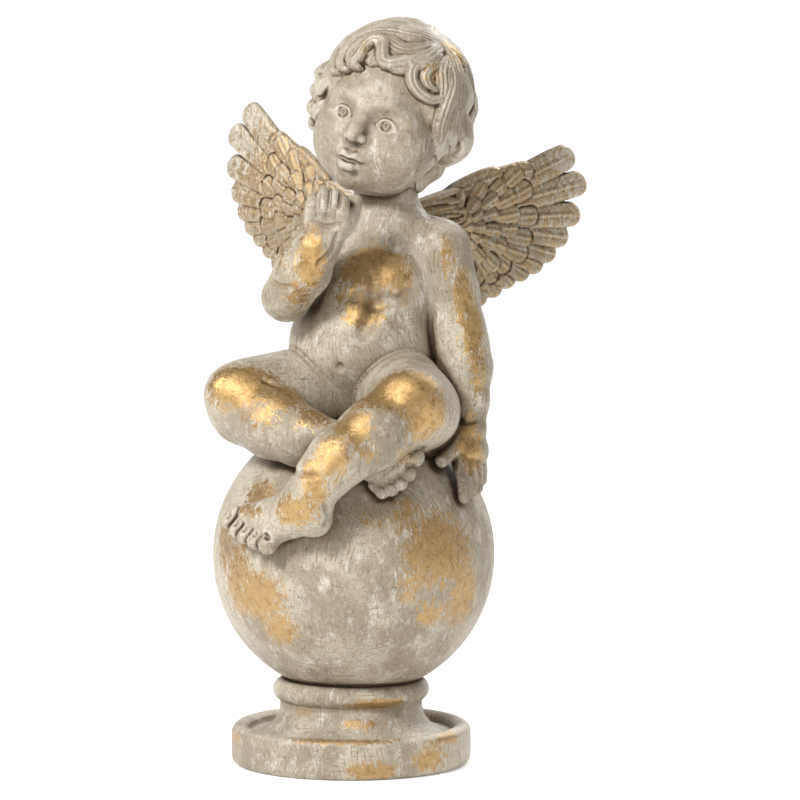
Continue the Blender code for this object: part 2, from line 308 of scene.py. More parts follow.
def part_of(faces, label, wanted):
    """The points used by the faces whose first point carries that label, and those faces numbered by them."""
    kept = faces[label[faces[:, 0]] == wanted]
    used, index = np.unique(kept, return_inverse=True)
    return used, index.reshape(kept.shape)


def enclosed(points, normals, distance):
    """How enclosed each point is: 0 in the open and 1 deep in a crease."""
    total = np.zeros(len(points))
    for reach, weight in ((1.2, 0.3), (3.0, 0.35), (6.5, 0.35)):
        room = distance(points + normals * reach)
        total += weight * np.clip(1 - room / reach, 0, 1)
    return total


def patches(points, spots):
    """The paint mask made by soft patches, each a centre, three radii and a strength."""
    mask = np.zeros(len(points))
    for centre, radii, strength in spots:
        away = (((points - np.array(centre)) / np.array(radii)) ** 2).sum(axis=1)
        mask = np.maximum(mask, strength * np.exp(-(away**1.5)))
    return mask


def soften(height):
    """Evens out a height map a little, in place, as a mould and its paint do."""
    inner = height[1:-1, 1:-1]
    inner[:] = (inner * 2 + height[2:, 1:-1] + height[:-2, 1:-1] + height[1:-1, 2:] + height[1:-1, :-2]) / 6


def read_map(layer, i, j):
    """A layer of a map, read between its cells at the rows i and the columns j."""
    i = np.clip(i, 0, layer.shape[0] - 1.01)
    j = np.clip(j, 0, layer.shape[1] - 1.01)
    i0, j0 = i.astype(int), j.astype(int)
    a, b = i - i0, j - j0
    near = layer[i0, j0] * (1 - a) * (1 - b) + layer[i0 + 1, j0] * a * (1 - b)
    return near + layer[i0, j0 + 1] * (1 - a) * b + layer[i0 + 1, j0 + 1] * a * b


def ball_distance(points):
    return np.linalg.norm(points - BALL_CENTRE, axis=1) - BALL_RADIUS


# ---------------------------------------------------------------- where things are

EYE_POINT = np.array([25.1, -2200.0, 376.0])
SHOULDER_R, ELBOW_R, WRIST_R = (-15.0, 6.0, 260.0), (-32.0, -23.0, 240.0), (-12.0, -41.0, 272.0)
SHOULDER_L, ELBOW_L, WRIST_L = (46.0, -1.0, 262.0), (56.5, -8.0, 214.0), (61.5, -18.0, 173.0)
HIP_R, KNEE_R, ANKLE_R = (-7.0, 5.0, 192.0), (-50.5, -24.0, 187.5), (8.0, -59.0, 166.0)
HIP_L, KNEE_L, ANKLE_L = (20.0, 2.0, 194.0), (31.0, -46.0, 187.0), (-20.0, -79.0, 145.0)
NECK_BASE, NECK_TOP = (15.5, 6.0, 271.0), (18.5, 6.0, 292.0)
BODY_LOW, BODY_HIGH = np.array([-82.0, -98.0, 112.0]), np.array([82.0, 46.0, 304.0])
HEAD_CENTRE = np.array([22.8, 0.0, 337.0])
HEAD_TURN = np.array(
    Matrix.Rotation(math.radians(18), 3, "Y")
    @ Matrix.Rotation(math.radians(-26), 3, "Z")
    @ Matrix.Rotation(math.radians(4), 3, "X")
)
# Each wing's root, its side, and how far it sweeps back and lifts, in degrees.
WINGS = {
    "right_wing": ((-4.0, 26.0, 258.0), -1, 42.0, 16.0),
    "left_wing": ((34.0, 22.0, 258.0), 1, 25.0, 0.0),
}


def seen_at(clay, x, z):
    """The front point of the clay on the sight line that meets the plane y = 0 at x and z."""
    target = np.array([x, 0.0, z])
    depth = np.arange(clay.low[1], clay.low[1] + clay.step * clay.field.shape[1], 0.4)
    line = EYE_POINT + (target - EYE_POINT) * ((depth - EYE_POINT[1]) / -EYE_POINT[1])[:, None]
    inside = np.flatnonzero(clay.at(line) < 0)
    return line[inside[0]] if len(inside) else target


def crease(clay, spots, radius, blend):
    """A groove over the front of the clay through spots given as (x, z), with thin ends."""
    path = np.array([seen_at(clay, x, z) for x, z in smooth_path(spots, 16)])
    share = np.linspace(-1, 1, len(path))
    clay.carve(tube(path, radius * np.sqrt(np.maximum(1 - share**4, 0.05))), blend)


# ---------------------------------------------------------------- body


def new_body():
    return Clay(BODY_LOW, BODY_HIGH, BODY_STEP)


def torso_clay():
    clay = new_body()
    clay.add(limb((-9, 10, 190, 23), (21, 8, 190, 23)), 1)
    clay.add(lump(6, 15, 188, 24), 8)
    clay.add(limb((0.5, 2, 214, 32), (12, 1, 213, 31)), 12)
    clay.add(limb((0, 9, 204, 27), (18, 7, 204, 27)), 8)
    clay.add(limb((6, 6, 238, 25), (19, 4, 238, 25)), 12)
    clay.add(limb((6, 6, 238, 24), (8, 8, 256, 18)), 8)
    clay.add(limb((19, 4, 238, 24), (22, 6, 256, 18)), 8)
    clay.add(limb((8, 8, 256, 18), (22, 6, 256, 18)), 6)
    clay.add(limb((*NECK_BASE, 14), (-11, 7, 262, 12)), 12)
    clay.add(limb((*NECK_BASE, 14.5), (40, 2, 264, 12.5)), 14)
    clay.add(limb((*NECK_BASE, 17), (*NECK_TOP, 15)), 14)
    clay.add(egg((2, -12.5, 247), (14, 8, 12)), 12)
    clay.add(egg((24, -13, 246), (14, 8, 12)), 12)
    clay.add(limb((-5, 6, 267, 2.4), (7, -5, 266, 2)), 10)
    clay.add(limb((38, 2, 268, 2.4), (24, -5, 266, 2)), 10)
    clay.add(egg((5, -8, 214), (24, 25, 20)), 10)
    clay.add(limb((8, -2, 226, 25), (12, -2.5, 242, 22)), 10)
    crease(clay, [(3, 238.5), (12, 236.5), (20, 237), (30, 239.5)], 0.3, 8)
    crease(clay, [(11.5, 250), (12.2, 245), (12, 239)], 0.5, 8)
    crease(clay, [(12, 233), (9.5, 227), (6, 220)], 0.5, 8)
    crease(clay, [(-31, 204), (-22, 196), (-9, 190)], 1.5, 5)
    clay.carve(lump(*seen_at(clay, -5.4, 203), 1.2), 3)
    for x, z in ((22.8, 241.6), (1.0, 243.0)):
        clay.add(lump(*(seen_at(clay, x, z) + [0, 1.2, 0]), 2.0), 2)
    # The back: the shoulder blades and the furrow of the spine.
    clay.add(egg((-3, 25, 244), (9, 4, 13)), 8)
    clay.add(egg((27, 23, 244), (9, 4, 13)), 8)
    clay.carve(limb((11, 33, 262, 1.6), (10, 34, 240, 2.2), (7, 38, 214, 2.0)), 8)
    clay.carve(limb((7, 42, 200, 1.2), (7, 44, 180, 2.4)), 8)
    return clay


def right_arm_clay():
    clay = new_body()
    clay.add(limb((*SHOULDER_R, 13.5), (-24, -8, 251, 13.4), (*ELBOW_R, 12.3)), 1)
    clay.add(limb((-32, -25, 240, 12.3), (-23, -34, 255, 13.8), (-16, -40, 266, 10.4), (*WRIST_R, 8.4),
                  blend=4), 1.6)
    clay.add(limb((-12, -41, 270, 8.2), (-15, -43.5, 277, 6.6), (-16.5, -46, 282, 5.2)), 2)
    clay.add(limb((-12, -41, 270, 8.2), (-6, -43.5, 277, 6.8), (-4, -45, 282, 5.2)), 2)
    clay.add(limb((-17, -45, 279, 5.6), (-4, -44, 279, 5.6)), 2)
    for x, z, length in ((-19.0, 281, 9.0), (-13.6, 282, 11.0), (-8.2, 282, 10.6), (-3.8, 281, 8.4)):
        knuckle, tip = (x + 0.3, -50, z + 3.8, 3.6), (x + 1, -47.5, z + length, 3.1)
        clay.add(limb((x, -46.5, z - 2, 3.3), knuckle, tip), 0.8)
    clay.add(limb((-3, -42, 276, 5), (0.5, -42, 281, 4.7), (3, -38, 289, 3.6)), 2.0)
    crease(clay, [(-30, 272), (-34.5, 262), (-38.5, 250)], 0.9, 1.5)
    crease(clay, [(-19.5, 277), (-12, 274.5), (-5, 276)], 0.7, 2)
    crease(clay, [(-41, 247), (-36, 244), (-31, 243.5)], 0.8, 2.5)
    for x in (-16.3, -10.6, -5.9):
        crease(clay, [(x, 283), (x + 0.3, 288), (x + 0.8, 294)], 0.65, 0.8)
    return clay


def left_arm_clay():
    clay = new_body()
    clay.add(limb((*SHOULDER_L, 15.5), (50, -3, 242, 14.6), (54.5, -6, 222, 13.6), (*ELBOW_L, 13.8),
                  blend=4), 1)
    clay.add(limb((*ELBOW_L, 13.9), (58.5, -11, 203, 13.2), (60.5, -14.5, 187, 9.4), (*WRIST_L, 6.8),
                  blend=4), 2)
    clay.add(limb((*WRIST_L, 6.6), (57.5, -23, 160, 5.8)), 2.5)
    clay.add(limb((*WRIST_L, 6.6), (63.2, -17, 159, 5.8)), 2.5)
    clay.add(limb((57.5, -23, 162, 6.6), (63.2, -17, 162, 6.6)), 3)
    clay.add(limb((61, -18, 176, 5.5), (56, -23, 169, 5.2), (51, -30, 163, 4.6), (46, -36.5, 158.5, 3.6)), 2)
    knuckles = ((55, -28, 158), (59, -25, 157), (62, -20, 157), (64.5, -14.5, 157))
    tips = ((57, -38, 140), (61, -34, 142), (64, -28, 144), (66, -20, 147))
    for (kx, ky, kz), (tx, ty, tz) in zip(knuckles, tips):
        middle = ((kx + tx) / 2 + 0.8, (ky + ty) / 2 - 1.2, (kz + tz) / 2, 3.5)
        clay.add(limb((kx, ky, kz, 4.4), middle, (tx, ty, tz, 3.2)), 0.8)
    crease(clay, [(53, 176), (58, 174.5), (64, 175.5)], 0.8, 2)
    return clay


def toe_row(clay, tips, pointing):
    """Toes given by x, y, z and radius of their tips, all pointing the same way."""
    pointing = np.array(pointing)
    for *tip, radius in tips:
        tip = np.array(tip)
        root, middle = tip - pointing * 7, tip - pointing * 3
        clay.add(limb((*root, radius), (*middle, radius * 0.92), (*tip, radius)), 0.7)
        nail = tip + np.array([0, -0.78, 1.04]) * radius
        clay.carve(lump(*nail, radius * 0.42), 0.5)


def right_leg_clay():
    clay = new_body()
    clay.add(limb((*HIP_R, 23), (-30, -10, 190, 22.6), (*KNEE_R, 22)), 1)
    clay.add(limb((-50, -25, 185.5, 21.5), (-38, -39, 178, 17.6), (-24, -50, 172, 14.5),
                  (-8, -56.5, 168, 11.5), (*ANKLE_R, 9.6), blend=5), 2.0)
    clay.add(egg((-60, -34, 193), (12, 11, 12)), 8)
    clay.add(limb((*ANKLE_R, 9.6), (12, -60, 158, 8.0), (15, -60.0, 154, 6.2)), 3)
    clay.add(limb((*ANKLE_R, 9.2), (18, -57.0, 162.5, 7.6), (26, -56, 162, 5.6)), 3)
    clay.add(limb((14, -57, 160, 9.5), (20, -58, 156, 7.5), (26, -56, 161, 7)), 3)
    toe_row(clay, ((32.0, -57, 162.5, 5.4), (29.2, -60, 154.6, 4.1), (25.2, -62, 150.0, 3.9),
                   (20.8, -63, 147, 3.7), (16.2, -63.5, 145.6, 3.5)), (0.5, -0.3, -0.5))
    crease(clay, [(-44.5, 196), (-36, 192.5), (-29.5, 190)], 0.9, 2.5)
    crease(clay, [(-2, 172), (4, 166.5), (6, 160)], 0.4, 2)
    return clay


def left_leg_clay():
    clay = new_body()
    clay.add(limb((*HIP_L, 23), (26, -22, 191, 22.6), (*KNEE_L, 22)), 1)
    clay.add(limb((27, -52, 184, 19), (12, -66, 174.5, 16.6), (-5, -76, 164, 14.3),
                  (-14, -78.5, 154, 12.0), (*ANKLE_L, 10.8), blend=6), 3)
    clay.add(egg((29, -60, 193), (13, 10, 12)), 8)
    clay.add(lump(37, -39, 183, 18), 6)
    clay.add(limb((38, -24, 172, 14), (50, -16, 171, 9.5)), 6)
    clay.add(limb((*ANKLE_L, 10.8), (-17, -77.5, 133.5, 8.7)), 4)
    clay.add(limb((-18.5, -77, 138, 9.4), (-28, -73.5, 131.5, 8.0), (-35, -69.5, 128, 6.6)), 4)
    clay.add(limb((-20, -79, 144, 10.2), (-33, -70, 138, 7.6), (-50, -55, 134, 4.8)), 5)
    clay.add(limb((-50, -55, 133.5, 4.6), (-36, -69, 128, 6.4)), 3)
    toe_row(clay, ((-60.5, -47, 128.5, 3.5), (-56.6, -53, 125.2, 3.7), (-52.2, -58.8, 122.8, 3.8),
                   (-47.0, -64, 121.0, 3.9), (-40.4, -69, 119.8, 4.7)), (-0.6, 0.05, -0.75))
    crease(clay, [(-32, 151.5), (-26, 148), (-18, 147)], 0.4, 3)
    crease(clay, [(-14, 133), (-12, 127), (-14, 121)], 0.6, 2)
    return clay


def sculpt_body():
    """The whole body as one clay, and the clay of each casting in it."""
    parts = {
        "torso": torso_clay(),
        "right_leg": right_leg_clay(),
        "left_leg": left_leg_clay(),
        "right_arm": right_arm_clay(),
        "left_arm": left_arm_clay(),
    }
    whole = new_body()
    whole.join(parts["torso"], 1.0)
    whole.join(parts["right_leg"], 1.6, HIP_R, 8, 18)
    whole.join(parts["left_leg"], 1.6, HIP_L, 8, 16)
    whole.join(parts["right_arm"], 1.4, SHOULDER_R, 14, 20)
    whole.join(parts["left_arm"], 1.4, SHOULDER_L, 16, 24)
    crease(whole, [(-17, 255), (-10, 262), (-7, 271)], 0.8, 2)
    return whole, parts


# ---------------------------------------------------------------- head


EYE_OUT, EYE_UP = 12.6, -9.6
HAIR_CENTRE = np.array([-3.0, 6.0, 4.0])
HAIR_RADIUS = 35.6
HAIR_CROWN = np.array([12.0, 2.0, 37.0])
MAP_STEP = 0.3  # the size of the cells of the maps of the hair and of the wings
BALD = -12.0  # the height of the hair where there is none


def head_clay():
    """The face and skull, in the head's own frame: x to its left, y to its back and z to its crown."""
    clay = Clay(np.array([-54.0, -46.0, -50.0]), np.array([48.0, 50.0, 50.0]), HEAD_STEP)
    clay.add(egg((-1, -1, 3), (28.5, 29.5, 28)), 1)
    clay.add(egg((0, -8, -13), (27, 23, 25)), 8)
    for side in (-1, 1):
        clay.add(lump(side * 14, -13.5, -21, 17.6), 8)
        clay.add(lump(side * 10.5, -14.5, -29, 15), 8)
    clay.add(egg((0, -23.5, -40), (9, 8.5, 6.6)), 7)
    clay.add(egg((0, -23, -29.5), (11.5, 10.3, 9)), 6)
    clay.add(limb((1, 4, -24, 15.5), (4.5, 6, -46, 15)), 8)
    # The brows, the eye sockets, the eyes, their lids, and a ring and a dot for each iris and pupil.
    for side in (-1, 1):
        x, z = side * EYE_OUT, EYE_UP
        brow = (side * 4, -29.5, z + 7, 2.4), (x, -28.4, z + 10, 3.0), (side * 20.5, -22, z + 6.5, 2.4)
        clay.add(limb(*brow), 7)
        clay.carve(egg((x, -35.2, z + 0.8), (7.6, 6.6, 5.2)), 6)
        clay.add(egg((x, -21.0, z), (6.8, 8.2, 6.2)), 2)
        lids = (
            ([(-5.2, -0.9), (-2.8, 1.6), (0, 2.3), (2.9, 1.5), (5.8, -1.3)], 1.15),
            ([(-5.0, -0.9), (-2.6, -2.8), (0, -3.4), (2.9, -2.8), (5.4, -1.2)], 0.7),
        )
        for spots, radius in lids:
            path = face_line(clay, [(x + side * a, z + b) for a, b in spots])
            share = np.linspace(-1, 1, len(path))
            clay.add(tube(path, radius * (1 - 0.4 * share**2)), 0.9)
        turns = np.linspace(0, math.tau, 24)
        iris = face_line(clay, [(x + 2.3 * math.cos(a), z - 0.4 + 2.3 * math.sin(a)) for a in turns], 40)
        clay.carve(tube(iris, np.full(40, 0.5)), 0.4)
        pupil = face_line(clay, [(x, z), (x, z - 0.2)], 2)[0]
        clay.carve(lump(*(pupil + [0, -0.2, -0.2]), 1.2), 0.4)
    clay.add(limb((0, -28.8, -2, 2.8), (0, -32.4, -9, 3.3), (0, -35.6, -15, 3.3), (0, -36.4, -18.6, 3.4),
                  blend=3), 4.2)
    # The nostrils and the upper lip, then the lower lip, the line of the mouth and the chin.
    for side in (-1, 1):
        clay.add(egg((side * 4.2, -33.0, -19.6), (2.0, 3.0, 2.0)), 2.2)
        clay.carve(lump(side * 2.3, -36.2, -22.9, 1.25), 0.8)
        lip = (side * 7.6, -30.8, -31.4, 0.9), (side * 3.2, -33.2, -28.6, 2.2), (0, -33.6, -29.3, 1.9)
        clay.add(limb(*lip), 1.0)
        clay.carve(lump(side * 8.9, -32.6, -31.7, 0.8), 2.2)
    clay.add(limb((-5.6, -30.8, -33.6, 1.2), (-2.1, -33.4, -34.6, 2.7),
                  (2.1, -33.4, -34.6, 2.7), (5.6, -30.8, -33.6, 1.2)), 1.0)
    clay.carve(limb((-7.8, -31.8, -31.6, 0.5), (-2.8, -34.6, -31.3, 1.0), (0, -34.9, -31.8, 1.05),
                    (2.8, -34.6, -31.3, 1.0), (7.8, -31.8, -31.6, 0.5)), 0.5)
    clay.carve(limb((0, -35.2, -23.5, 0.7), (0, -35.4, -27.2, 1.0)), 2)
    clay.carve(limb((-4, -32.3, -38.2, 0.6), (0, -33.2, -38.7, 0.9), (4, -32.3, -38.2, 0.6)), 4)
    return clay


def face_line(clay, spots, count=14):
    """A line over the face through (x, z) spots, read straight from the front."""
    path = []
    for x, z in smooth_path(spots, count):
        depth = np.arange(clay.low[1], 0.0, 0.3)
        line = np.column_stack([np.full(len(depth), x), depth, np.full(len(depth), z)])
        inside = np.flatnonzero(clay.at(line) < 0)
        path.append(line[inside[0]])
    return np.array(path)


class HairMap:
    """The height of the hair over a ball, on a map of all directions with the crown in its middle."""

    def __init__(self):
        self.pole = (HAIR_CROWN - HAIR_CENTRE) / np.linalg.norm(HAIR_CROWN - HAIR_CENTRE)
        self.left = np.cross([0, 1, 0], self.pole)
        self.left /= np.linalg.norm(self.left)
        self.back = np.cross(self.pole, self.left)
        self.reach = math.radians(165) * HAIR_RADIUS  # to just short of the point opposite the crown
        count = int(2 * self.reach / MAP_STEP) + 2
        axis = np.arange(count) * MAP_STEP - self.reach
        self.u, self.v = np.meshgrid(axis, axis, indexing="ij")
        away = np.maximum(np.hypot(self.u, self.v), 1e-6)
        angle = away / HAIR_RADIUS
        side = np.sin(angle) / away
        self.direction = (
            (side * self.u)[..., None] * self.left
            + (side * self.v)[..., None] * self.back
            + np.cos(angle)[..., None] * self.pole
        )
        self.height = np.full(self.u.shape, BALD)

    def flat(self, points):
        """Points of the head as map positions."""
        way = points - HAIR_CENTRE
        way = way / np.linalg.norm(way, axis=-1, keepdims=True)
        up = np.clip(way @ self.pole, -1, 1)
        side = np.maximum(np.sqrt(1 - up**2), TINY)
        angle = np.minimum(np.arccos(up), math.radians(164))
        return HAIR_RADIUS * angle / side * (way @ self.left), HAIR_RADIUS * angle / side * (way @ self.back)

    def lock(self, points, half_width, rise, level, tip=0.3, pitch=2.1, groove=0.75, phase=0.0, count=18):
        """Lays one lock of hair along a curve through points of the head."""
        path = smooth_path(points, count) - HAIR_CENTRE
        path *= HAIR_RADIUS / np.linalg.norm(path, axis=1, keepdims=True)
        u, v = self.flat(path + HAIR_CENTRE)
        margin = half_width + 2
        spread = 1 + 0.8 * np.clip(np.hypot(u, v).max() / (1.6 * HAIR_RADIUS) - 0.6, 0, 2)
        first = [int(max((a.min() - margin * spread + self.reach) / MAP_STEP, 0)) for a in (u, v)]
        last = [int((a.max() + margin * spread + self.reach) / MAP_STEP) + 2 for a in (u, v)]
        part = (slice(first[0], last[0]), slice(first[1], last[1]))
        where = self.direction[part] * HAIR_RADIUS
        best = np.full(where.shape[:2], 1e9)
        across = np.zeros_like(best)
        place = np.zeros_like(best)
        for i in range(count - 1):
            a, run = path[i], path[i + 1] - path[i]
            offset = where - a
            share = np.clip(offset @ run / (run @ run), 0, 1)
            offset = offset - share[..., None] * run
            away = (offset**2).sum(axis=-1)
            side = np.cross(run, a)
            side /= np.linalg.norm(side)
            closer = away < best
            best = np.where(closer, away, best)
            across = np.where(closer, offset @ side, across)
            place = np.where(closer, (i + share) / (count - 1), place)
        best = np.sqrt(best)
        wide = half_width * np.interp(place, [0, 0.15, 0.6, 1], [0.55, 0.9, 1.0, tip])
        round_off = np.sqrt(np.maximum(1 - (best / wide) ** 2, 0))
        strands = 0.5 + 0.5 * np.cos(math.tau * across / pitch + phase + 0.7 * np.sin(5 * place + phase))
        lift = rise * np.interp(place, [0, 0.2, 0.8, 1], [0.5, 1, 1, 0.6])
        high = level + lift * round_off - groove * strands
        high = np.where(best < wide, high, BALD)
        self.height[part] = np.maximum(self.height[part], high)

    def at(self, layer, points):
        """A layer of the map, read at points of the head."""
        u, v = self.flat(points)
        return read_map(layer, (u + self.reach) / MAP_STEP, (v + self.reach) / MAP_STEP)


def comb_hair():
    """The locks that lie on the head. The crown is the source of them all."""
    hair = HairMap()
    dice = np.random.default_rng(7)
    cx, cy, cz = HAIR_CROWN
    reach = np.array([hair.left, hair.back, hair.pole])

    def toward(turn, fall, sway):
        """A point of the ball, so many degrees about the crown from the figure's left and so many down."""
        a, b = math.radians(turn + sway), math.radians(fall)
        way = np.array([math.sin(b) * math.cos(a), math.sin(b) * math.sin(a), math.cos(b)]) @ reach
        return HAIR_CENTRE + way * HAIR_RADIUS

    # The cap that lies under all the locks, down to the hairline of the brow, the temples and the nape.
    fall = np.degrees(np.hypot(hair.u, hair.v) / HAIR_RADIUS)
    spot = hair.direction * HAIR_RADIUS + HAIR_CENTRE
    bare = np.sqrt((((spot - [1, -34, -12]) / [26, 30, 33]) ** 2).sum(axis=-1))
    low = spot[..., 2] < -25 - 0.25 * spot[..., 1]
    hair.height = np.where(low, BALD, 1.3 - 13.3 * np.clip((1.24 - bare) / 0.34, 0, 1) ** 2)

    # Long wavy locks down the back and the sides, in three rows that overlap like tiles.
    for row, (start, end, level, wide, count) in enumerate(
        ((70, 128, 0.4, 5.2, 17), (44, 104, 0.9, 5.4, 16), (14, 74, 1.3, 5.8, 13))
    ):
        for i in range(count):
            turn = 360 * (i + 0.5 * (row % 2)) / count + dice.uniform(-6, 6)
            if math.cos(math.radians(turn + 95)) > 0.25:  # over the face
                continue
            long = (end - start) * dice.uniform(0.85, 1.1)
            bend = dice.choice((-1, 1)) * dice.uniform(8, 15)
            wave = ((0, 0), (0.3, 0.6), (0.62, -0.5), (0.9, 0.5), (1, 1.4))
            spots = [toward(turn, start + share * long, bend * sway) for share, sway in wave]
            half_width, rise = wide * dice.uniform(0.85, 1.1), dice.uniform(2.2, 3.0)
            hair.lock(spots, half_width, rise, level, phase=dice.uniform(0, 6))

    # Sweep over the top, from the crown to the figure's right temple.
    for i, (fx, fy, fz, level) in enumerate((
        (-36, -6, 22, 0.8), (-38, -12, 14, 1.0), (-33, -14, 21, 1.3), (-31, -19, 12, 1.6),
    )):
        mx, my, mz = (-12 - 2 * i, -6 - 4 * i, 40 - 1.5 * i)
        hair.lock([(cx - 2, cy + 2 - 3 * i, cz), (4, -2 - 4 * i, 40), (mx, my, mz), (fx, fy, fz)],
                  6.4, 3.0, level, 0.45, phase=i)
    # The fringe: a heavy roll over the brow, with the arched lock in the middle.
    hair.lock([(15, -6, 34), (13, -16, 31), (7, -22, 28), (-2, -22, 29), (-12, -19, 28), (-22, -14, 26)],
              6.2, 3.0, 1.4, 0.5, phase=2.0, count=22)
    hair.lock([(18, -6, 33), (18, -15, 28), (14, -22, 24), (8, -26, 21.5), (3, -27, 21.5), (0, -26, 24)],
              5.4, 3.4, 2.2, 0.4, phase=0.5)
    hair.lock([(-10, -18, 31), (-14, -22, 26), (-17, -25, 20), (-15, -28, 15), (-11, -30, 14)],
              4.6, 3.2, 2.4, 0.4, phase=1.0)
    hair.lock([(-16, -16, 30), (-21, -18, 25), (-24, -22, 18), (-22, -25, 12), (-18, -27, 11)],
              4.4, 3.0, 2.2, 0.4, phase=3.0)
    hair.lock([(-22, -12, 29), (-27, -14, 23), (-30, -18, 15), (-28, -22, 9), (-24, -24, 8)],
              4.4, 3.0, 2.0, 0.4, phase=4.0)
    hair.lock([(15, -20, 27), (11, -24, 24), (6, -27, 20.5), (1.5, -28, 20), (-1.5, -27, 24), (-4, -25, 28),
               (-8, -24, 29), (-11, -25, 26), (-12, -28, 20), (-14, -30, 15)],
              3.3, 2.6, 4.4, 0.55, pitch=2.2, groove=1.0, phase=0.8, count=34)
    hair.lock([(4, -23, 28), (-1, -27, 23), (-6, -29, 19)], 4.6, 2.0, 1.6, 0.6, phase=2.2)
    hair.lock([(1, -24, 30), (-6, -26, 25), (-10, -28, 20)], 4.6, 2.0, 1.4, 0.6, phase=3.1)
    # The curl at the left temple.
    hair.lock([(23, -7, 30), (21, -16, 24), (22, -19, 18), (27, -16, 12)], 5.6, 2.2, 1.4, 0.6, phase=1.7)
    hair.lock([(24, -4, 30), (26, -9, 24), (28, -9, 16), (29, -9, 8)], 6.0, 3.0, 1.6, 0.6, phase=0.3)
    hair.lock([(20, -8, 31), (17, -17, 27), (15, -22, 22), (16.5, -24, 16), (21, -22, 11), (27, -17, 9),
               (30, -12, 11)], 3.2, 2.4, 3.0, 0.6, pitch=2.1, groove=0.9, phase=0.2, count=28)
    hair.lock([(24, -8, 28), (21, -15, 24), (20, -18, 19), (23, -18, 15), (27, -15, 14)],
              2.6, 2.0, 2.6, 0.5, pitch=1.9, groove=0.7, phase=1.2)
    # The left side, which falls behind the cheek and curls out at the jaw.
    hair.lock([(19, 2, 35), (28, 0, 24), (32, 0, 12), (33, 1, 0), (31, 6, -12)],
              6.6, 3.4, 1.4, 0.5, phase=1.0, count=22)
    hair.lock([(24, -4, 30), (30, -5, 20), (31, -8, 8), (31, -8, -2), (32, -3, -12), (29, 4, -18)],
              5.2, 3.2, 2.2, 0.45, phase=2.4, count=22)
    crown = np.exp(-(hair.u**2 + hair.v**2) / 7.0**2)
    hair.height = hair.height * (1 - crown) + 2.6 * crown
    return hair


def sculpt_head():
    face = head_clay()
    hair = comb_hair()
    soften(hair.height)
    x, y, z = face.grid()
    away = np.sqrt((x - HAIR_CENTRE[0]) ** 2 + (y - HAIR_CENTRE[1]) ** 2 + (z - HAIR_CENTRE[2]) ** 2)
    shell = np.argwhere((away > HAIR_RADIUS - 14) & (away < HAIR_RADIUS + 12))
    points = face.low + face.step * shell
    radius = away[tuple(shell.T)]
    # The hair is a shell: its outside follows the map, and its inside lies hidden in the skull.
    outside = radius - (HAIR_RADIUS + hair.at(hair.height, points))
    locks = np.full(face.field.shape, FAR, np.float32)
    locks[tuple(shell.T)] = np.maximum(outside, HAIR_RADIUS - 10.5 - radius)
    face.field = soft_min(face.field, locks, 0.7).astype(np.float32)
    add_curls(face)
    return face, hair


def tress(clay, points, thick, strands=3, axis=HAIR_CENTRE):
    """A lock that stands free of the head: a bundle of cords side by side that swell and taper together."""
    path = smooth_path(points, 16)
    outward = path - np.array(axis)
    outward /= np.linalg.norm(outward, axis=1, keepdims=True)
    side = np.cross(np.gradient(path, axis=0), outward)
    side /= np.linalg.norm(side, axis=1, keepdims=True)
    swell = np.interp(np.linspace(0, 1, 16), [0, 0.2, 0.7, 1], [0.6, 1, 0.95, 0.45])
    for k in range(strands):
        offset = (k - (strands - 1) / 2) * 2 * 0.62 * thick
        line = path + side * (offset * swell)[:, None] - outward * (abs(offset) * 0.28)
        clay.add(tube(line, thick * swell), 0.5)


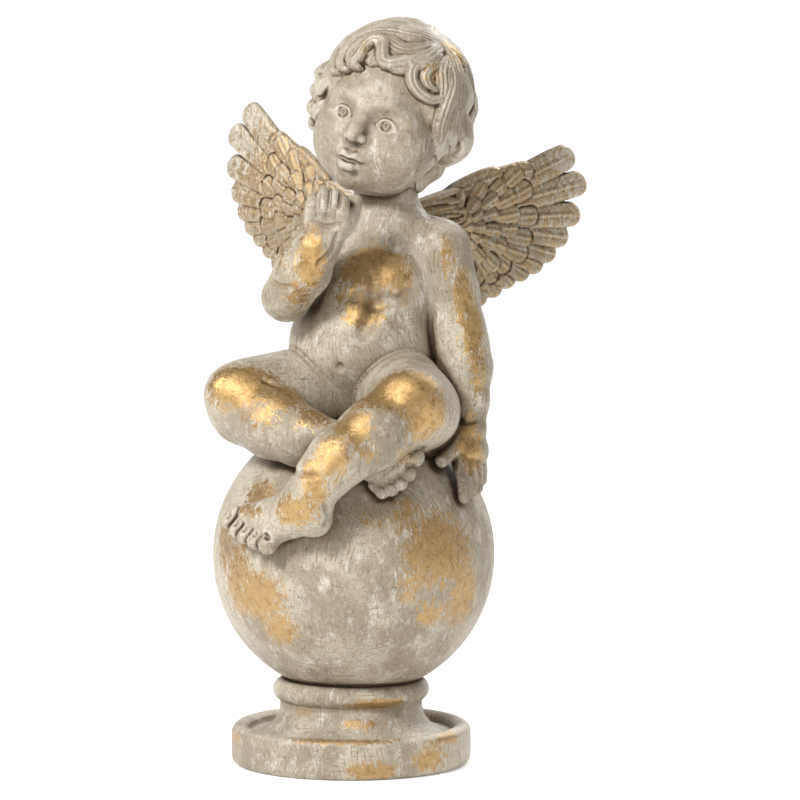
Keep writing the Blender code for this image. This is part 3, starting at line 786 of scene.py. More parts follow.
def add_curls(clay):
    """The curls that stand out: at the right temple and ear, behind the left cheek and at the nape."""
    for x, y, z, radius in (
        (-34, -8, 4, 8), (-34.5, -7, -7, 8), (-32.5, -4, -17, 7.4), (29, 10, -4, 11), (28, 12, -14, 9),
        (20, 15, -26, 9), (16, 12, -35, 7.5), (4, 28, -22, 12), (-16, 20, -26, 11),
    ):
        clay.add(lump(x, y, z, radius), 4)
    for spots in (
        [(-29, -10, 9), (-34, -12, 6), (-38.5, -13, 2), (-41, -12, 4), (-39.5, -11, 8)],
        [(-30, -9, 1), (-35, -10, -2), (-39.5, -10, -7), (-42.5, -9, -5.5), (-41, -9, -1)],
        [(-30, -8, -9), (-35, -9, -12), (-39.5, -9, -16), (-42, -8, -14.5), (-41, -8, -10)],
        [(-29, -5, -17), (-33.5, -6, -20), (-37.5, -6, -24), (-40, -5, -22), (-38.5, -5, -18)],
        [(-27, -15, 6), (-32, -17, 2), (-35.5, -16.5, -3), (-38, -15, -1), (-36.5, -14, 3)],
        [(-27, -14, -7), (-32, -15.5, -10.5), (-35.5, -14, -16), (-38, -12, -13.5), (-36.5, -11, -9)],
    ):
        tress(clay, spots, 2.3)
    for thick, *spots in (
        (2.0, (26, 0, 27), (32, 2, 16), (32, -1, 6), (34.5, 0, -2),
         (36, 3, -9), (34, 4, -15), (29, 4, -18)),
        (2.1, (28, 8, 26), (34.5, 10, 14), (34.5, 7, 3), (37.5, 8, -5),
         (39, 11, -11), (36, 13, -17), (31, 12, -20)),
        (2.2, (27, 18, 22), (33.5, 20, 10), (34.5, 18, 0), (37, 19, -8),
         (35, 21, -15), (31, 19, -21), (26, 15, -26)),
        (1.8, (30, -10, 10), (29, -12, 2), (31, -9, -4), (30, -8, -10),
         (30, -4, -16), (26, -2, -22), (21, 2, -30)),
        (1.8, (31, -8, 1), (33.5, -4, -4), (33, -3, -10), (32, -1, -16),
         (28, 1, -23), (23, 4, -30), (17, 8, -37)),
    ):
        tress(clay, spots, thick)
    clay.add(lump(35.5, 9, -12.5, 4.2), 2)
    spots = [(35, 5, -6), (39.5, 7, -8), (40.5, 9, -13), (37, 9, -17), (33.5, 7, -15), (35, 6, -11)]
    tress(clay, spots, 1.9, 2, axis=(28, 14, -12))
    for start, middle, end in (
        ((20, 26, -12), (16, 31, -22), (8, 31, -32)), ((6, 34, -14), (10, 34, -24), (2, 33, -33)),
        ((-8, 34, -12), (-4, 35, -23), (-10, 31, -32)), ((-20, 27, -12), (-24, 25, -22), (-18, 24, -32)),
        ((-27, 17, -14), (-29, 15, -23), (-23, 14, -31)),
    ):
        tress(clay, [start, middle, end, tuple(np.array(end) + (5, -1, 3))], 2.3)


# ---------------------------------------------------------------- wings


WING_HUB = np.array([20.0, 15.0])
# Tips of the long feathers, out along the wing and up from its root, from the top one down.
WING_TIPS = (
    (94, 52), (101.5, 37), (97.5, 20), (90, 8), (82, -1),
    (74, -7.5), (65.5, -12), (56.5, -16.5), (47.5, -22), (38, -27),
)
# Rows of short feathers: reach from the hub, half width, how many, first and last angle, and height.
COVERT_ROWS = (
    (50, 5.6, 9, 34, -80, 0.9),
    (39, 5.0, 9, 42, -84, 1.7),
    (29, 4.4, 8, 56, -90, 2.5),
    (19.5, 3.8, 8, 78, -100, 3.2),
    (11, 3.2, 7, 100, -110, 3.8),
)
WING_BOW = 7.0  # how far the wing bends back at its tips


class Plate:
    """A flat relief in the plane of a wing: height over the plane, and distance to the outline."""

    def __init__(self):
        self.low = np.array([-14.0, -42.0])
        self.count = (430, 360)
        axes = [self.low[i] + MAP_STEP * np.arange(self.count[i]) for i in range(2)]
        self.out, self.up = np.meshgrid(*axes, indexing="ij")
        self.mound = 3.6 * np.exp(-(((self.out - 12) / 20) ** 2 + ((self.up - 12) / 20) ** 2))
        self.height = self.mound + 0.3
        self.outline = np.full(self.count, 99.0)

    def feather(self, root, tip, half_width, level, rise=1.9, tilt=0.5, barbs=1.9, point=0.92, seed=0.0,
                bend=0.0):
        """A blade from its root to its tip: a round back, a quill, slanted barbs and a round end."""
        root, tip = np.array(root, float), np.array(tip, float)
        run = tip - root
        length = np.linalg.norm(run)
        way = run / length
        side = np.array([-way[1], way[0]])
        along = (self.out - root[0]) * way[0] + (self.up - root[1]) * way[1]
        across = (self.out - root[0]) * side[0] + (self.up - root[1]) * side[1]
        share = np.clip(along / length, 0, 1)
        across = across - bend * np.sin(share * math.pi)
        wide = half_width * np.interp(share, [0, 0.45, 0.8, 1], [0.5, 0.92, 1.0, point])
        beyond = np.maximum(along - (length - half_width), 0)
        behind = np.maximum(-along, 0)
        edge = np.hypot(np.maximum(beyond, behind), across) - wide
        inside = edge < 0
        dome = np.clip(-edge / wide, 0, 1)
        body = rise * (0.5 * np.sqrt(np.clip(-edge / 1.3, 0, 1)) + 0.5 * np.sqrt(dome * (2 - dome)))
        quill = 0.55 * np.exp(-((across / 0.75) ** 2)) - 0.3 * np.exp(-(((np.abs(across) - 1.5) / 0.6) ** 2))
        slant = along - 1.15 * np.abs(across) + 0.5 * np.sin(along * 0.45 + seed)
        strand = 0.24 * np.cos(math.tau * slant / barbs + seed) * np.clip(-edge / 1.4, 0, 1)
        quill = quill * np.clip(-edge / 2, 0, 1)
        high = self.mound + level + body + quill + strand + tilt * across / half_width
        self.height = np.where(inside, high, self.height)
        self.outline = np.minimum(self.outline, edge)

    def at(self, layer, out, up):
        """A layer of the plate, read at points of the wing."""
        return read_map(layer, (out - self.low[0]) / MAP_STEP, (up - self.low[1]) / MAP_STEP)


def hollows(height, cells, depth):
    """How far each spot of a height map lies below what is round it, from 0 to 1."""
    ground = np.maximum(height, -1.0)
    smooth = ground
    for _ in range(2):
        for axis in (0, 1):
            total = np.cumsum(smooth, axis=axis)
            total = np.concatenate([np.zeros_like(np.take(total, [0], axis)), total], axis=axis)
            size = smooth.shape[axis]
            after = np.minimum(np.arange(size) + cells + 1, size)
            before = np.maximum(np.arange(size) - cells, 0)
            shape = [1, 1]
            shape[axis] = size
            inside = np.take(total, after, axis) - np.take(total, before, axis)
            smooth = inside / (after - before).reshape(shape)
    return np.clip((smooth - ground) / depth, 0, 1)


def polar(angle, reach):
    a = math.radians(angle)
    return WING_HUB + reach * np.array([math.cos(a), math.sin(a)])


def wing_plate(front, seed):
    """The feathers of one face of a wing. Only the front has the innermost rows and the down at the root."""
    plate = Plate()
    dice = np.random.default_rng(seed)
    plate.feather((2, 4), (38, 20), 13.0, 0.0, 0.8, 0.0, seed=2.0)
    plate.feather((-3, 22), (-3, -14), 6.5, 0.0, 0.6, 0.0, seed=4.0)
    plate.feather((-4, 16), (52, 38.5), 6.5, 0.2, seed=1.0, bend=2.5)
    for i, tip in reversed(list(enumerate(WING_TIPS))):
        start = polar(44 - 11.5 * i, 8)
        bend = 2.0 - 0.7 * i if i < 3 else 0.0
        plate.feather(start, tip, 7.4 - 0.22 * i, 0.5, 2.5, -0.9, 2.4, seed=i * 1.7, bend=bend)
    plate.feather((24, 33), (68, 44), 5.4, 1.0, 2.0, -0.5, 2.2, seed=5.0, bend=1.0)
    plate.feather((2, 20), (50, 42), 5.6, 1.2, 2.0, -0.5, 2.2, seed=3.0, bend=3.0)
    for reach, half_width, count, first, last, level in COVERT_ROWS if front else COVERT_ROWS[:3]:
        for i in reversed(range(count)):
            angle = first + (last - first) * (i + dice.uniform(-0.2, 0.2)) / (count - 1)
            shorter = 1 - 0.32 * (i / (count - 1)) ** 1.5
            far = reach * shorter * dice.uniform(0.95, 1.07)
            root = polar(angle, max(far - 3.6 * half_width, 0.0))
            tip = polar(angle + dice.uniform(-3, 3), far)
            plate.feather(root, tip, half_width * dice.uniform(0.9, 1.08), level, 2.1, -0.5, 1.9, 0.85,
                          seed=dice.uniform(0, 6), bend=dice.uniform(-0.8, 0.8))
    if front:
        for i in range(24):
            start = (-9 + dice.uniform(-1, 1), 25 - 1.6 * i)
            end = (17 + dice.uniform(0, 9), 33 - 2.2 * i + dice.uniform(-2, 2))
            bend = dice.uniform(-0.5, 2.0)
            plate.feather(start, end, 1.9, 3.4 + 0.5 * (i % 3), 1.5, 0.3, 1.4, 0.1, seed=i, bend=bend)
    soften(plate.height)
    return plate


def wing_clay(seed):
    """One wing, in its own frame: out along the wing, up, and back."""
    clay = Clay(np.array([-13.0, -39.0, -16.0]), np.array([107.0, 59.0, 18.0]), WING_STEP)
    front, rear = wing_plate(True, seed), wing_plate(False, seed + 50)
    out, up, back = clay.grid()
    away = np.hypot(out - WING_HUB[0], up - WING_HUB[1])
    ahead = WING_BOW * np.minimum(away / 80, 1.15) ** 2 - back
    tall = front.at(front.height, out, up)
    deep = 0.8 * rear.at(rear.height, out, up)
    outline = np.minimum(front.at(front.outline, out, up), rear.at(rear.outline, out, up))
    clay.field = np.maximum(np.maximum(ahead - tall, -ahead - deep), outline).astype(np.float32)
    clay.add(limb((-3, 4, 3.5, 7.5), (4, 15, 3.5, 5.0), (9, 25, 3.5, 3.0)), 3)
    clay.add(limb((-3, 2, 3.5, 7.0), (2, -12, 3.5, 4.5)), 3)
    return clay, front


def wing_axes(side, sweep, lift):
    """The three directions of a wing's own frame, as columns."""
    turn, lift = math.radians(sweep), math.radians(lift)
    outward = np.array([side * math.cos(turn), math.sin(turn), 0.0])
    through = np.array([-side * math.sin(turn), math.cos(turn), 0.0])
    up = np.array([0.0, 0.0, 1.0])
    along = outward * math.cos(lift) + up * math.sin(lift)
    upward = -outward * math.sin(lift) + up * math.cos(lift)
    return np.column_stack([along, upward, through])


# ---------------------------------------------------------------- turned pieces


def lathe(profile, centre, count, wobble):
    """Points and faces of a shape turned about Z from (radius, height) points, top first."""
    profile = np.array(profile, float)
    turn = np.arange(count) * math.tau / count
    radius, height = profile[:, :1], profile[:, 1:]
    swell = 1 + wobble * (np.sin(3 * turn + height * 0.06) + 0.6 * np.sin(7 * turn - height * 0.11))
    points = [radius * swell * np.cos(turn), radius * swell * np.sin(turn), height + 0 * turn]
    points = np.stack(points, axis=-1).reshape(-1, 3) + centre
    rows = len(profile)
    i, j = np.meshgrid(np.arange(rows - 1), np.arange(count), indexing="ij")
    after = (j + 1) % count
    faces = [i * count + j, (i + 1) * count + j, (i + 1) * count + after, i * count + after]
    return points, np.stack(faces, axis=-1).reshape(-1, 4)


def arc(centre, radii, start, end, count):
    span = np.radians(np.linspace(start, end, count + 1))
    return [(centre[0] + radii[0] * math.cos(a), centre[1] + radii[1] * math.sin(a)) for a in span]


def plinth_profile():
    """The seat of the ball, the collar, the waist, the spreading foot, its raised lip and the rim."""
    lip, foot = PLINTH_RADIUS, FELT_TOP + 0.12
    hollow = BALL_RADIUS + 0.25
    seat = [(r, BALL_CENTRE[2] - math.sqrt(hollow**2 - r * r)) for r in (0.05, 10, 18, 25, 30)]
    return [
        *seat,
        *arc((34, 38), (6.0, 5.8), 95, -66, 20),
        *arc((52, 30.6), (15.6, 15.0), 176, 262, 26),
        (52.6, 15.7),
        *arc((lip - 4.6, 16.0), (4.5, 4.5), 155, 8, 16),
        (lip - 0.05, 12.5), (lip, 9.5), (lip - 0.05, 6.5),
        *arc((lip - 3.4, 4.0), (3.3, 3.85), -5, -90, 10),
        (57.6, foot), (30, foot), (0.05, foot),
    ]


def plinth_distance(points):
    """About how far points are from the plinth, by the nearest of the points of its profile."""
    radius = np.hypot(points[:, 0], points[:, 1])
    best = np.full(len(points), FAR)
    for r, z in plinth_profile():
        best = np.minimum(best, np.hypot(radius - r, points[:, 2] - z))
    return best


def normals_of(points, faces):
    across = np.cross(points[faces[:, 2]] - points[faces[:, 0]], points[faces[:, 3]] - points[faces[:, 1]])
    total = np.zeros_like(points)
    for corner in range(4):
        np.add.at(total, faces[:, corner], across)
    return total / np.maximum(np.linalg.norm(total, axis=1, keepdims=True), TINY)


# ---------------------------------------------------------------- finishes


class Finish:
    """A material whose colours are worked out by nodes from the place on the object and its marks."""

    def __init__(self, name):
        self.material = bpy.data.materials.new(name)
        self.material.use_nodes = True
        self.tree = self.material.node_tree
        self.shader = self.tree.nodes["Principled BSDF"]
        self.place = self.tree.nodes.new("ShaderNodeTexCoord").outputs["Object"]
        self.plain = self.place
        swirl = self.node("ShaderNodeTexNoise")
        swirl.inputs["Scale"].default_value = 22.0
        swirl.inputs["Detail"].default_value = 1.0
        self.feed(swirl.inputs["Vector"], self.plain)
        bend = self.node("ShaderNodeVectorMath", operation="MULTIPLY_ADD")
        self.feed(bend.inputs[0], swirl.outputs["Color"])
        bend.inputs[1].default_value = (0.025, 0.025, 0.025)
        self.feed(bend.inputs[2], self.plain)
        self.swirled = bend.outputs[0]

    def node(self, kind, **settings):
        made = self.tree.nodes.new(kind)
        for key, value in settings.items():
            setattr(made, key, value)
        return made

    def feed(self, socket, value):
        if isinstance(value, (int, float, tuple)):
            socket.default_value = value
        else:
            self.tree.links.new(value, socket)

    def noise(self, scale, detail=5.0, rough=0.6, stretch=None, turn=(0.0, 0.0, 0.0), shift=0.0):
        place = self.place
        if stretch or shift:
            mapping = self.node("ShaderNodeMapping")
            mapping.inputs["Scale"].default_value = stretch or (1.0, 1.0, 1.0)
            mapping.inputs["Rotation"].default_value = turn
            mapping.inputs["Location"].default_value = (shift, shift * 0.7, -shift)
            self.feed(mapping.inputs["Vector"], place)
            place = mapping.outputs["Vector"]
        made = self.node("ShaderNodeTexNoise")
        made.inputs["Scale"].default_value = scale
        made.inputs["Detail"].default_value = detail
        made.inputs["Roughness"].default_value = rough
        self.feed(made.inputs["Vector"], place)
        return made.outputs["Fac"]

    def mark(self, name):
        return self.node("ShaderNodeAttribute", attribute_name=name).outputs["Fac"]

    def maths(self, operation, *values):
        made = self.node("ShaderNodeMath", operation=operation)
        for socket, value in zip(made.inputs, values):
            self.feed(socket, value)
        return made.outputs[0]

    def plus(self, *values):
        return self.maths("ADD", *values)

    def times(self, *values):
        return self.maths("MULTIPLY", *values)

    def swing(self, noise, strength):
        """A noise turned into a push to either side of zero."""
        return self.times(self.maths("SUBTRACT", noise, 0.5), strength)

    def between(self, value, low, high, start=0.0, end=1.0):
        made = self.node("ShaderNodeMapRange", interpolation_type="SMOOTHSTEP")
        for socket, number in zip(list(made.inputs)[1:5], (low, high, start, end)):
            socket.default_value = number
        self.feed(made.inputs[0], value)
        return made.outputs[0]

    def mix(self, share, first, second):
        made = self.node("ShaderNodeMix", data_type="RGBA", blend_type="MIX")
        self.feed(made.inputs["Factor"], share)
        for socket, colour in zip((made.inputs[6], made.inputs[7]), (first, second)):
            self.feed(socket, (*colour, 1.0) if isinstance(colour, tuple) else colour)
        return made.outputs[2]

    def coat(self, colour, tint, cover, strength):
        """The colour with a tint over it where the cover is, at a strength."""
        return self.mix(self.times(cover, strength), colour, tint)

    def set(self, name, value):
        self.feed(self.shader.inputs[name], value)

    def relief(self, height, strength, distance):
        bump = self.node("ShaderNodeBump")
        bump.inputs["Strength"].default_value = strength
        bump.inputs["Distance"].default_value = distance
        self.feed(bump.inputs["Height"], height)
        self.set("Normal", bump.outputs["Normal"])


CREAM = (0.475, 0.42, 0.325)
CHALK = (0.64, 0.60, 0.52)
GREIGE = (0.285, 0.235, 0.165)
SCRATCH = (0.195, 0.14, 0.08)
WASH_SHADE_TINT = (0.22, 0.155, 0.085)
UMBER = (0.060, 0.034, 0.016)
OCHRE = (0.30, 0.165, 0.06)
GOLD = (0.505, 0.33, 0.14)
WING_GOLD = (0.42, 0.285, 0.135)
BASE_GOLD = (0.47, 0.30, 0.125)


def cast_paint(name, gilding, gold_colour, crease_darkening_strength=1.0):
    """Cream paint with chalky and greige drifts, brush scratches, rubbed gold, paler edges from wear and painted
    highlight, and a dark wash with painted shade in the creases.
    """
    paint = Finish(name)
    drift = paint.noise(28.0, 6.0, 0.65)
    colour = paint.mix(paint.between(drift, 0.40, 0.62), GREIGE, CREAM)
    chalk = paint.between(paint.noise(140.0, 7.0, 0.78, (1, 1, 0.55), shift=3.0), 0.50, 0.68)
    colour = paint.coat(colour, CHALK, chalk, 0.85)

    # Brush scratches in three directions, two dark and one light.
    paint.place = paint.swirled
    scratches = paint.noise(210.0, 5.0, 0.75, (5.0, 5.0, 0.35), (0.35, 0.5, 0.2))
    more = paint.noise(190.0, 5.0, 0.75, (0.35, 4.0, 6.0), (0.4, -0.6, 0.9), 5.0)
    bright = paint.noise(230.0, 5.0, 0.75, (6.0, 4.0, 0.4), (-0.5, 0.3, 0.6), 9.0)
    paint.place = paint.plain
    streak = paint.maths("MAXIMUM", paint.between(scratches, 0.53, 0.61), paint.between(more, 0.55, 0.63))
    colour = paint.coat(colour, SCRATCH, streak, 0.75)
    colour = paint.coat(colour, CHALK, paint.between(bright, 0.55, 0.66), 0.45)
    # Paler chalk where the mark is high, on thin edges and ridges, the wing tips and the lip of the plinth: wear,
    # and painted highlight.
    colour = paint.coat(colour, CHALK, paint.between(paint.mark("wear_and_highlight"), 0.25, 0.9), 0.5)

    fine = paint.swing(paint.noise(420.0, 7.0, 0.8, (1, 1, 0.6)), 3.3)
    gold = paint.plus(paint.mark("gold"), paint.swing(drift, 1.1))
    gold = paint.plus(paint.plus(gold, fine), paint.swing(bright, -2.2))
    gold = paint.times(paint.between(gold, 0.50, 0.60), gilding)
    tone = paint.between(paint.noise(300.0, 6.0, 0.75, shift=8.0), 0.30, 0.56)
    colour = paint.mix(gold, colour, paint.mix(tone, OCHRE, gold_colour))

    speck = paint.between(paint.noise(420.0, 3.0, 0.6, shift=1.0), 0.63, 0.69)
    colour = paint.coat(colour, UMBER, speck, 0.45)
    # Browner, then umber, in the creases and where pieces come close: a dark wash that the figurine has, and
    # painted shade.
    wash_and_shade = paint.plus(paint.mark("wash_and_shade"), paint.times(fine, 0.10))
    colour = paint.coat(colour, WASH_SHADE_TINT, paint.between(wash_and_shade, 0.06, 0.36), 0.50 * crease_darkening_strength)
    colour = paint.coat(colour, UMBER, paint.between(wash_and_shade, 0.26, 0.66), 0.88 * crease_darkening_strength)
    paint.set("Base Color", colour)

    rough = paint.between(paint.noise(85.0, 4.0, shift=4.0), 0.35, 0.65, 0.36, 0.54)
    paint.set("Roughness", paint.maths("SUBTRACT", rough, paint.times(gold, 0.09)))
    paint.set("Metallic", paint.times(gold, 0.85))
    paint.set("Specular IOR Level", 0.45)
    grain = paint.plus(paint.noise(520.0, 5.0, 0.65, shift=2.0), paint.times(scratches, 1.4))
    paint.relief(paint.plus(grain, paint.times(drift, 1.2)), 0.42, 0.0007)
    return paint.material


def felt_finish():
    felt = Finish("felt_finish")
    nap = felt.noise(900.0, 6.0, 0.7)
    felt.set("Base Color", felt.mix(nap, (0.045, 0.04, 0.035), (0.17, 0.155, 0.13)))
    felt.set("Roughness", 0.95)
    felt.relief(nap, 0.5, 0.0005)
    return felt.material


def steel_finish():
    steel = Finish("steel_finish")
    turned = steel.noise(300.0, 4.0, 0.6, (1.0, 1.0, 12.0))
    steel.set("Base Color", steel.mix(turned, (0.42, 0.42, 0.43), (0.66, 0.66, 0.67)))
    steel.set("Roughness", steel.between(turned, 0.3, 0.7, 0.25, 0.45))
    steel.set("Metallic", 1.0)
    return steel.material


# ---------------------------------------------------------------- the figure, put together


def surroundings(points, start=ball_distance):
    """The distance from any points of the frame to the nearest piece."""
    best = start(points)
    for clay, turn, origin in scenery:
        local = (points - origin) @ turn
        size = clay.low + clay.step * (np.array(clay.field.shape) - 1)
        kept = np.clip(local, clay.low, size)
        best = np.minimum(best, clay.at(kept) + np.linalg.norm(local - kept, axis=1))
    return best


def marks_of(points, normals, spots):
    """The three marks of the paint: dark wash and painted shade in the creases and where pieces come close, wear
    and painted highlight on the edges, and patches of gold.
    """
    edge = 2.6
    wear_and_highlight = 1 - np.clip(-surroundings(points - normals * edge) / edge, 0, 1)
    return {
        "wash_and_shade": enclosed(points, normals, surroundings),
        "wear_and_highlight": np.clip(wear_and_highlight * 2.2, 0, 1),
        "gold": patches(points, spots),
    }


def put(name, points, faces, normals, marks, material):
    mesh = quad_mesh(name, points, faces, normals, marks)
    obj = new_object(name, mesh)
    mesh.materials.append(material)
    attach(obj, "root")
    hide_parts(name)


def gilt(clay, rows):
    """Gold patches on the front of a clay, each given as x, z, two radii and a strength."""
    return [(seen_at(clay, x, z), (across, 14, high), strength) for x, z, across, high, strength in rows]


body, castings = sculpt_body()
head, hair = sculpt_head()
plates = {}
scenery = [(body, np.eye(3), np.zeros(3)), (head, HEAD_TURN, HEAD_CENTRE)]
for number, (name, (root, side, sweep, lift)) in enumerate(WINGS.items()):
    clay, plate = wing_clay(11 + number)
    plates[name] = (clay, plate, wing_axes(side, sweep, lift), np.array(root))
    scenery.append((clay, plates[name][2], plates[name][3]))


body_gold = gilt(body, (
    (13, 254, 20, 13, 1.2), (24, 250, 9, 14, 0.9), (8, 231, 12, 9, 1.05), (-1, 240, 8, 8, 0.7),
    (-20, 258, 8, 18, 1.05), (-27, 240, 9, 12, 0.62), (-34, 262, 6, 12, 0.6),
    (-55, 193, 22, 14, 1.15), (-34, 188, 18, 10, 1.0), (-20, 178, 12, 8, 0.8), (-46, 178, 14, 7, 0.7),
    (24, 191, 31, 14, 1.15), (38, 180, 14, 17, 1.0), (6, 186, 12, 12, 0.8),
    (1, 172, 12, 13, 1.05), (-9, 158, 9, 13, 1.0), (-19, 145, 7, 14, 0.95), (8, 160, 7, 8, 0.7),
    (-42, 140, 13, 7, 0.9), (-30, 129, 13, 9, 0.9), (-52, 130, 9, 5, 0.7), (28, 158, 8, 6, 0.6),
    (49, 258, 5, 13, 0.85), (57, 240, 6, 17, 0.9), (62, 222, 6, 20, 0.9), (65, 200, 5, 16, 0.75),
    (60, 163, 9, 18, 1.0), (54, 168, 6, 8, 0.7),
))
# Gold patches of the other pieces: a centre, three radii and a strength.
HEAD_GOLD = (
    ((16, -26, 372), (12, 10, 5), 0.5), ((-14, -22, 366), (9, 10, 5), 0.45),
    ((40, -20, 352), (9, 12, 7), 0.6), ((52, -5, 362), (10, 12, 9), 0.6),
    ((10, -25, 366), (10, 10, 6), 0.45), ((-8, -20, 350), (6, 8, 6), 0.5),
)
BALL_GOLD = (
    ((28, -62, 134), (12, 12, 14), 0.75), ((-56, -42, 100), (10, 14, 26), 0.85),
    ((30, -66, 98), (9, 9, 12), 0.6), ((-46, -54, 92), (15, 20, 14), 1.1),
    ((-36, -58, 74), (11, 16, 12), 1.0), ((44, -56, 116), (24, 24, 20), 1.1),
    ((56, -42, 92), (10, 14, 20), 1.0), ((40, -58, 84), (10, 14, 9), 0.8),
    ((-47, -45, 143), (12, 12, 8), 1.0), ((-62, -30, 118), (8, 14, 16), 0.8),
    ((14, -66, 132), (14, 12, 8), 0.6),
)
PLINTH_GOLD = (
    ((14, -36, 35), (20, 12, 3.5), 1.0), ((6, -40, 25), (16, 10, 3), 0.7),
    ((12, -60, 5), (14, 8, 5), 1.0), ((38, -46, 9), (12, 14, 7), 0.9),
    ((-8, -58, 19.5), (42, 10, 1.6), 0.8), ((-57, -18, 15), (8, 12, 5), 0.8),
    ((-24, -28, 30), (8, 8, 3), 0.6), ((48, -36, 17), (9, 14, 4), 0.7),
)
figure_paint = cast_paint("figure_paint", 1.0, GOLD)
wing_paint = cast_paint("wing_paint", 0.8, WING_GOLD, 1.25)
base_paint = cast_paint("base_paint", 0.92, BASE_GOLD)

# The body is one skin, and each face of it goes to the casting that lies nearest.
points, faces = skin(body)
label = np.argmin(np.stack([clay.at(points) for clay in castings.values()]), axis=0)
normals = body.normals_at(points)
marks = marks_of(points, normals, body_gold)
for wanted, name in enumerate(castings):
    used, piece = part_of(faces, label, wanted)
    own = {key: value[used] for key, value in marks.items()}
    put(name, points[used], piece, normals[used], own, figure_paint)

local, faces = skin(head)
normals = head.normals_at(local) @ HEAD_TURN.T
points = local @ HEAD_TURN.T + HEAD_CENTRE
marks = marks_of(points, normals, HEAD_GOLD)
marks["wear_and_highlight"] *= 0.9
# Darker in the grooves between the locks of hair: dark wash and painted shade.
combed = np.linalg.norm(local - HAIR_CENTRE, axis=1) > HAIR_RADIUS + 0.2
hollow = hair.at(hollows(hair.height, 5, 1.3), local)
marks["wash_and_shade"] = np.maximum(marks["wash_and_shade"], combed * hollow)
put("head", points, faces, normals, marks, figure_paint)

for name, (clay, plate, axes, root) in plates.items():
    local, faces = skin(clay)
    if np.linalg.det(axes) < 0:
        faces = faces[:, ::-1]
    normals = clay.normals_at(local) @ axes.T
    points = local @ axes.T + root
    marks = marks_of(points, normals, ())
    away = np.hypot(local[:, 0] - WING_HUB[0], local[:, 1] - WING_HUB[1])
    marks["gold"] = 0.63 - 0.06 * np.clip((away - 45) / 30, 0, 1)
    marks["wear_and_highlight"] = np.maximum(marks["wear_and_highlight"], 0.8 * np.clip((away - 46) / 20, 0, 1))
    # Darker where feathers overlap and in the hollows between them: dark wash and painted shade.
    hollow = plate.at(hollows(plate.height, 6, 1.3), local[:, 0], local[:, 1])
    marks["wash_and_shade"] = np.maximum(0.6 * marks["wash_and_shade"], hollow)
    put(name, points, faces, normals, marks, wing_paint)

points, faces = lathe(arc((0, 0), (BALL_RADIUS, BALL_RADIUS), 89.2, -89.2, 130), BALL_CENTRE, 260, 0.0006)
normals = normals_of(points, faces)
# Darker where the figure and the plinth come close to the ball: painted shadow.
marks = {
    "wash_and_shade": enclosed(points, normals, lambda p: surroundings(p, plinth_distance)),
    "wear_and_highlight": np.zeros(len(points)),
    "gold": patches(points, BALL_GOLD),
}
put("ball", points, faces, normals, marks, base_paint)

points, faces = lathe(plinth_profile(), np.zeros(3), 240, 0.0008)
radius, height = np.hypot(points[:, 0], points[:, 1]), points[:, 2]
# Darker round the waist and in the dish (dark wash and painted shade) and round the seat of the ball (painted
# shadow); paler along the crest of the lip (painted highlight).
waist = ((radius - 36.6) / 2) ** 2 + ((height - 31.5) / 1.6) ** 2
dish = ((radius - 53.5) / 2.0) ** 2 + ((height - 15.8) / 1.4) ** 2
seat = (ball_distance(points) / 1.6) ** 2
marks = {
    "wash_and_shade": np.clip(0.30 * np.exp(-waist) + 0.55 * np.exp(-dish) + 0.8 * np.exp(-seat), 0, 1),
    "wear_and_highlight": np.clip(1 - np.abs(height - 19) / 3, 0, 1) * 0.6 * (radius > 55),
    "gold": patches(points, PLINTH_GOLD),
}
put("plinth", points, faces, normals_of(points, faces), marks, base_paint)

felt, steel = felt_finish(), steel_finish()
for name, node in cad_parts.items():
    if not node.hide_render:
        node.data.materials.clear()
        node.data.materials.append(felt if name == "felt_sheet" else steel)

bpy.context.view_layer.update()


# ---------------------------------------------------------------- floor, light and camera


FLOOR_WIDE = 6.0  # half the width of the floor and its wall, in metres
FLOOR_FRONT, FLOOR_BACK, CURVE, WALL_TOP = -6.0, 1.6, 1.2, 5.0

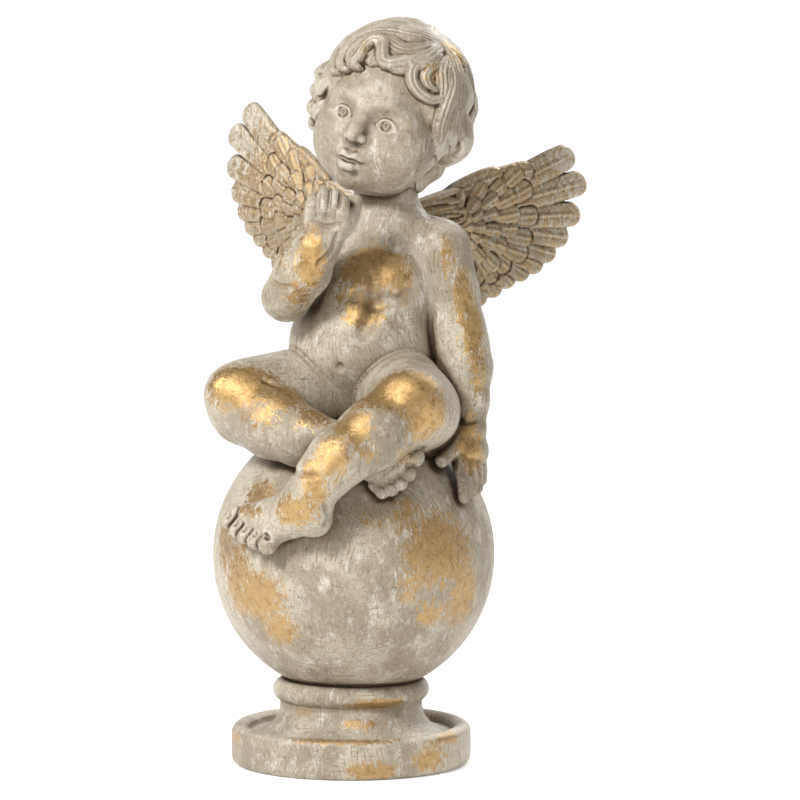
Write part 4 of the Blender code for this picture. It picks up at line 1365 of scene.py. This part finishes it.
floor_mesh = bpy.data.meshes.new("floor")
turns = np.linspace(0.1, math.pi / 2, 12)
bend = [(FLOOR_BACK + CURVE * math.sin(a), CURVE - CURVE * math.cos(a)) for a in turns]
sweep = [(FLOOR_FRONT, 0.0), (FLOOR_BACK, 0.0), *bend, (FLOOR_BACK + CURVE, WALL_TOP)]
floor_mesh.from_pydata(
    [(x, y, z) for y, z in sweep for x in (-FLOOR_WIDE, FLOOR_WIDE)], [],
    [(2 * i, 2 * i + 1, 2 * i + 3, 2 * i + 2) for i in range(len(sweep) - 1)],
)
floor_mesh.shade_smooth()
floor = new_object("floor", floor_mesh)
floor_paint = bpy.data.materials.new("floor_paint")
floor_paint.use_nodes = True
floor_inputs = floor_paint.node_tree.nodes["Principled BSDF"].inputs
for key, value in (
    ("Base Color", (0.90, 0.90, 0.90, 1)), ("Emission Color", (1, 1, 1, 1)),
    ("Emission Strength", 0.27), ("Roughness", 0.9),
):
    floor_inputs[key].default_value = value
floor_mesh.materials.append(floor_paint)

world = bpy.data.worlds.new("studio")
bpy.context.scene.world = world
world.use_nodes = True
sky = world.node_tree.nodes["Background"].inputs
sky["Color"].default_value = (1.0, 0.99, 0.975, 1)
sky["Strength"].default_value = 0.33


def soft_light(name, place, aim, power, size):
    lamp = bpy.data.lights.new(name, "AREA")
    lamp.energy, lamp.size = power, size
    obj = bpy.data.objects.new(name, lamp)
    obj.location = place
    obj.rotation_euler = (Vector(aim) - Vector(place)).to_track_quat("-Z", "Y").to_euler()
    bpy.context.scene.collection.objects.link(obj)


soft_light("key", (-0.9, -1.1, 1.2), (0, 0, 0.2), 34.5, 0.4)
soft_light("fill", (1.2, -0.9, 0.7), (0, 0, 0.2), 1.5, 0.7)
soft_light("rim", (0.6, 1.0, 1.0), (0, 0, 0.25), 14, 0.8)
soft_light("backdrop", (0, 0.7, 0.7), (0, 2.4, 0.5), 7, 1.0)
bpy.context.scene.view_settings.view_transform = "Standard"

AIM_HEIGHT = 0.186
lens = bpy.data.cameras.new("photo_camera")
lens.lens = 195.0
camera = bpy.data.objects.new("photo_camera", lens)
camera.location = Vector(EYE_POINT) * MM
aim = Vector((EYE_POINT[0] * MM, 0, AIM_HEIGHT))
camera.rotation_euler = (aim - camera.location).to_track_quat("-Z", "Y").to_euler()
bpy.context.scene.collection.objects.link(camera)
bpy.context.scene.camera = camera
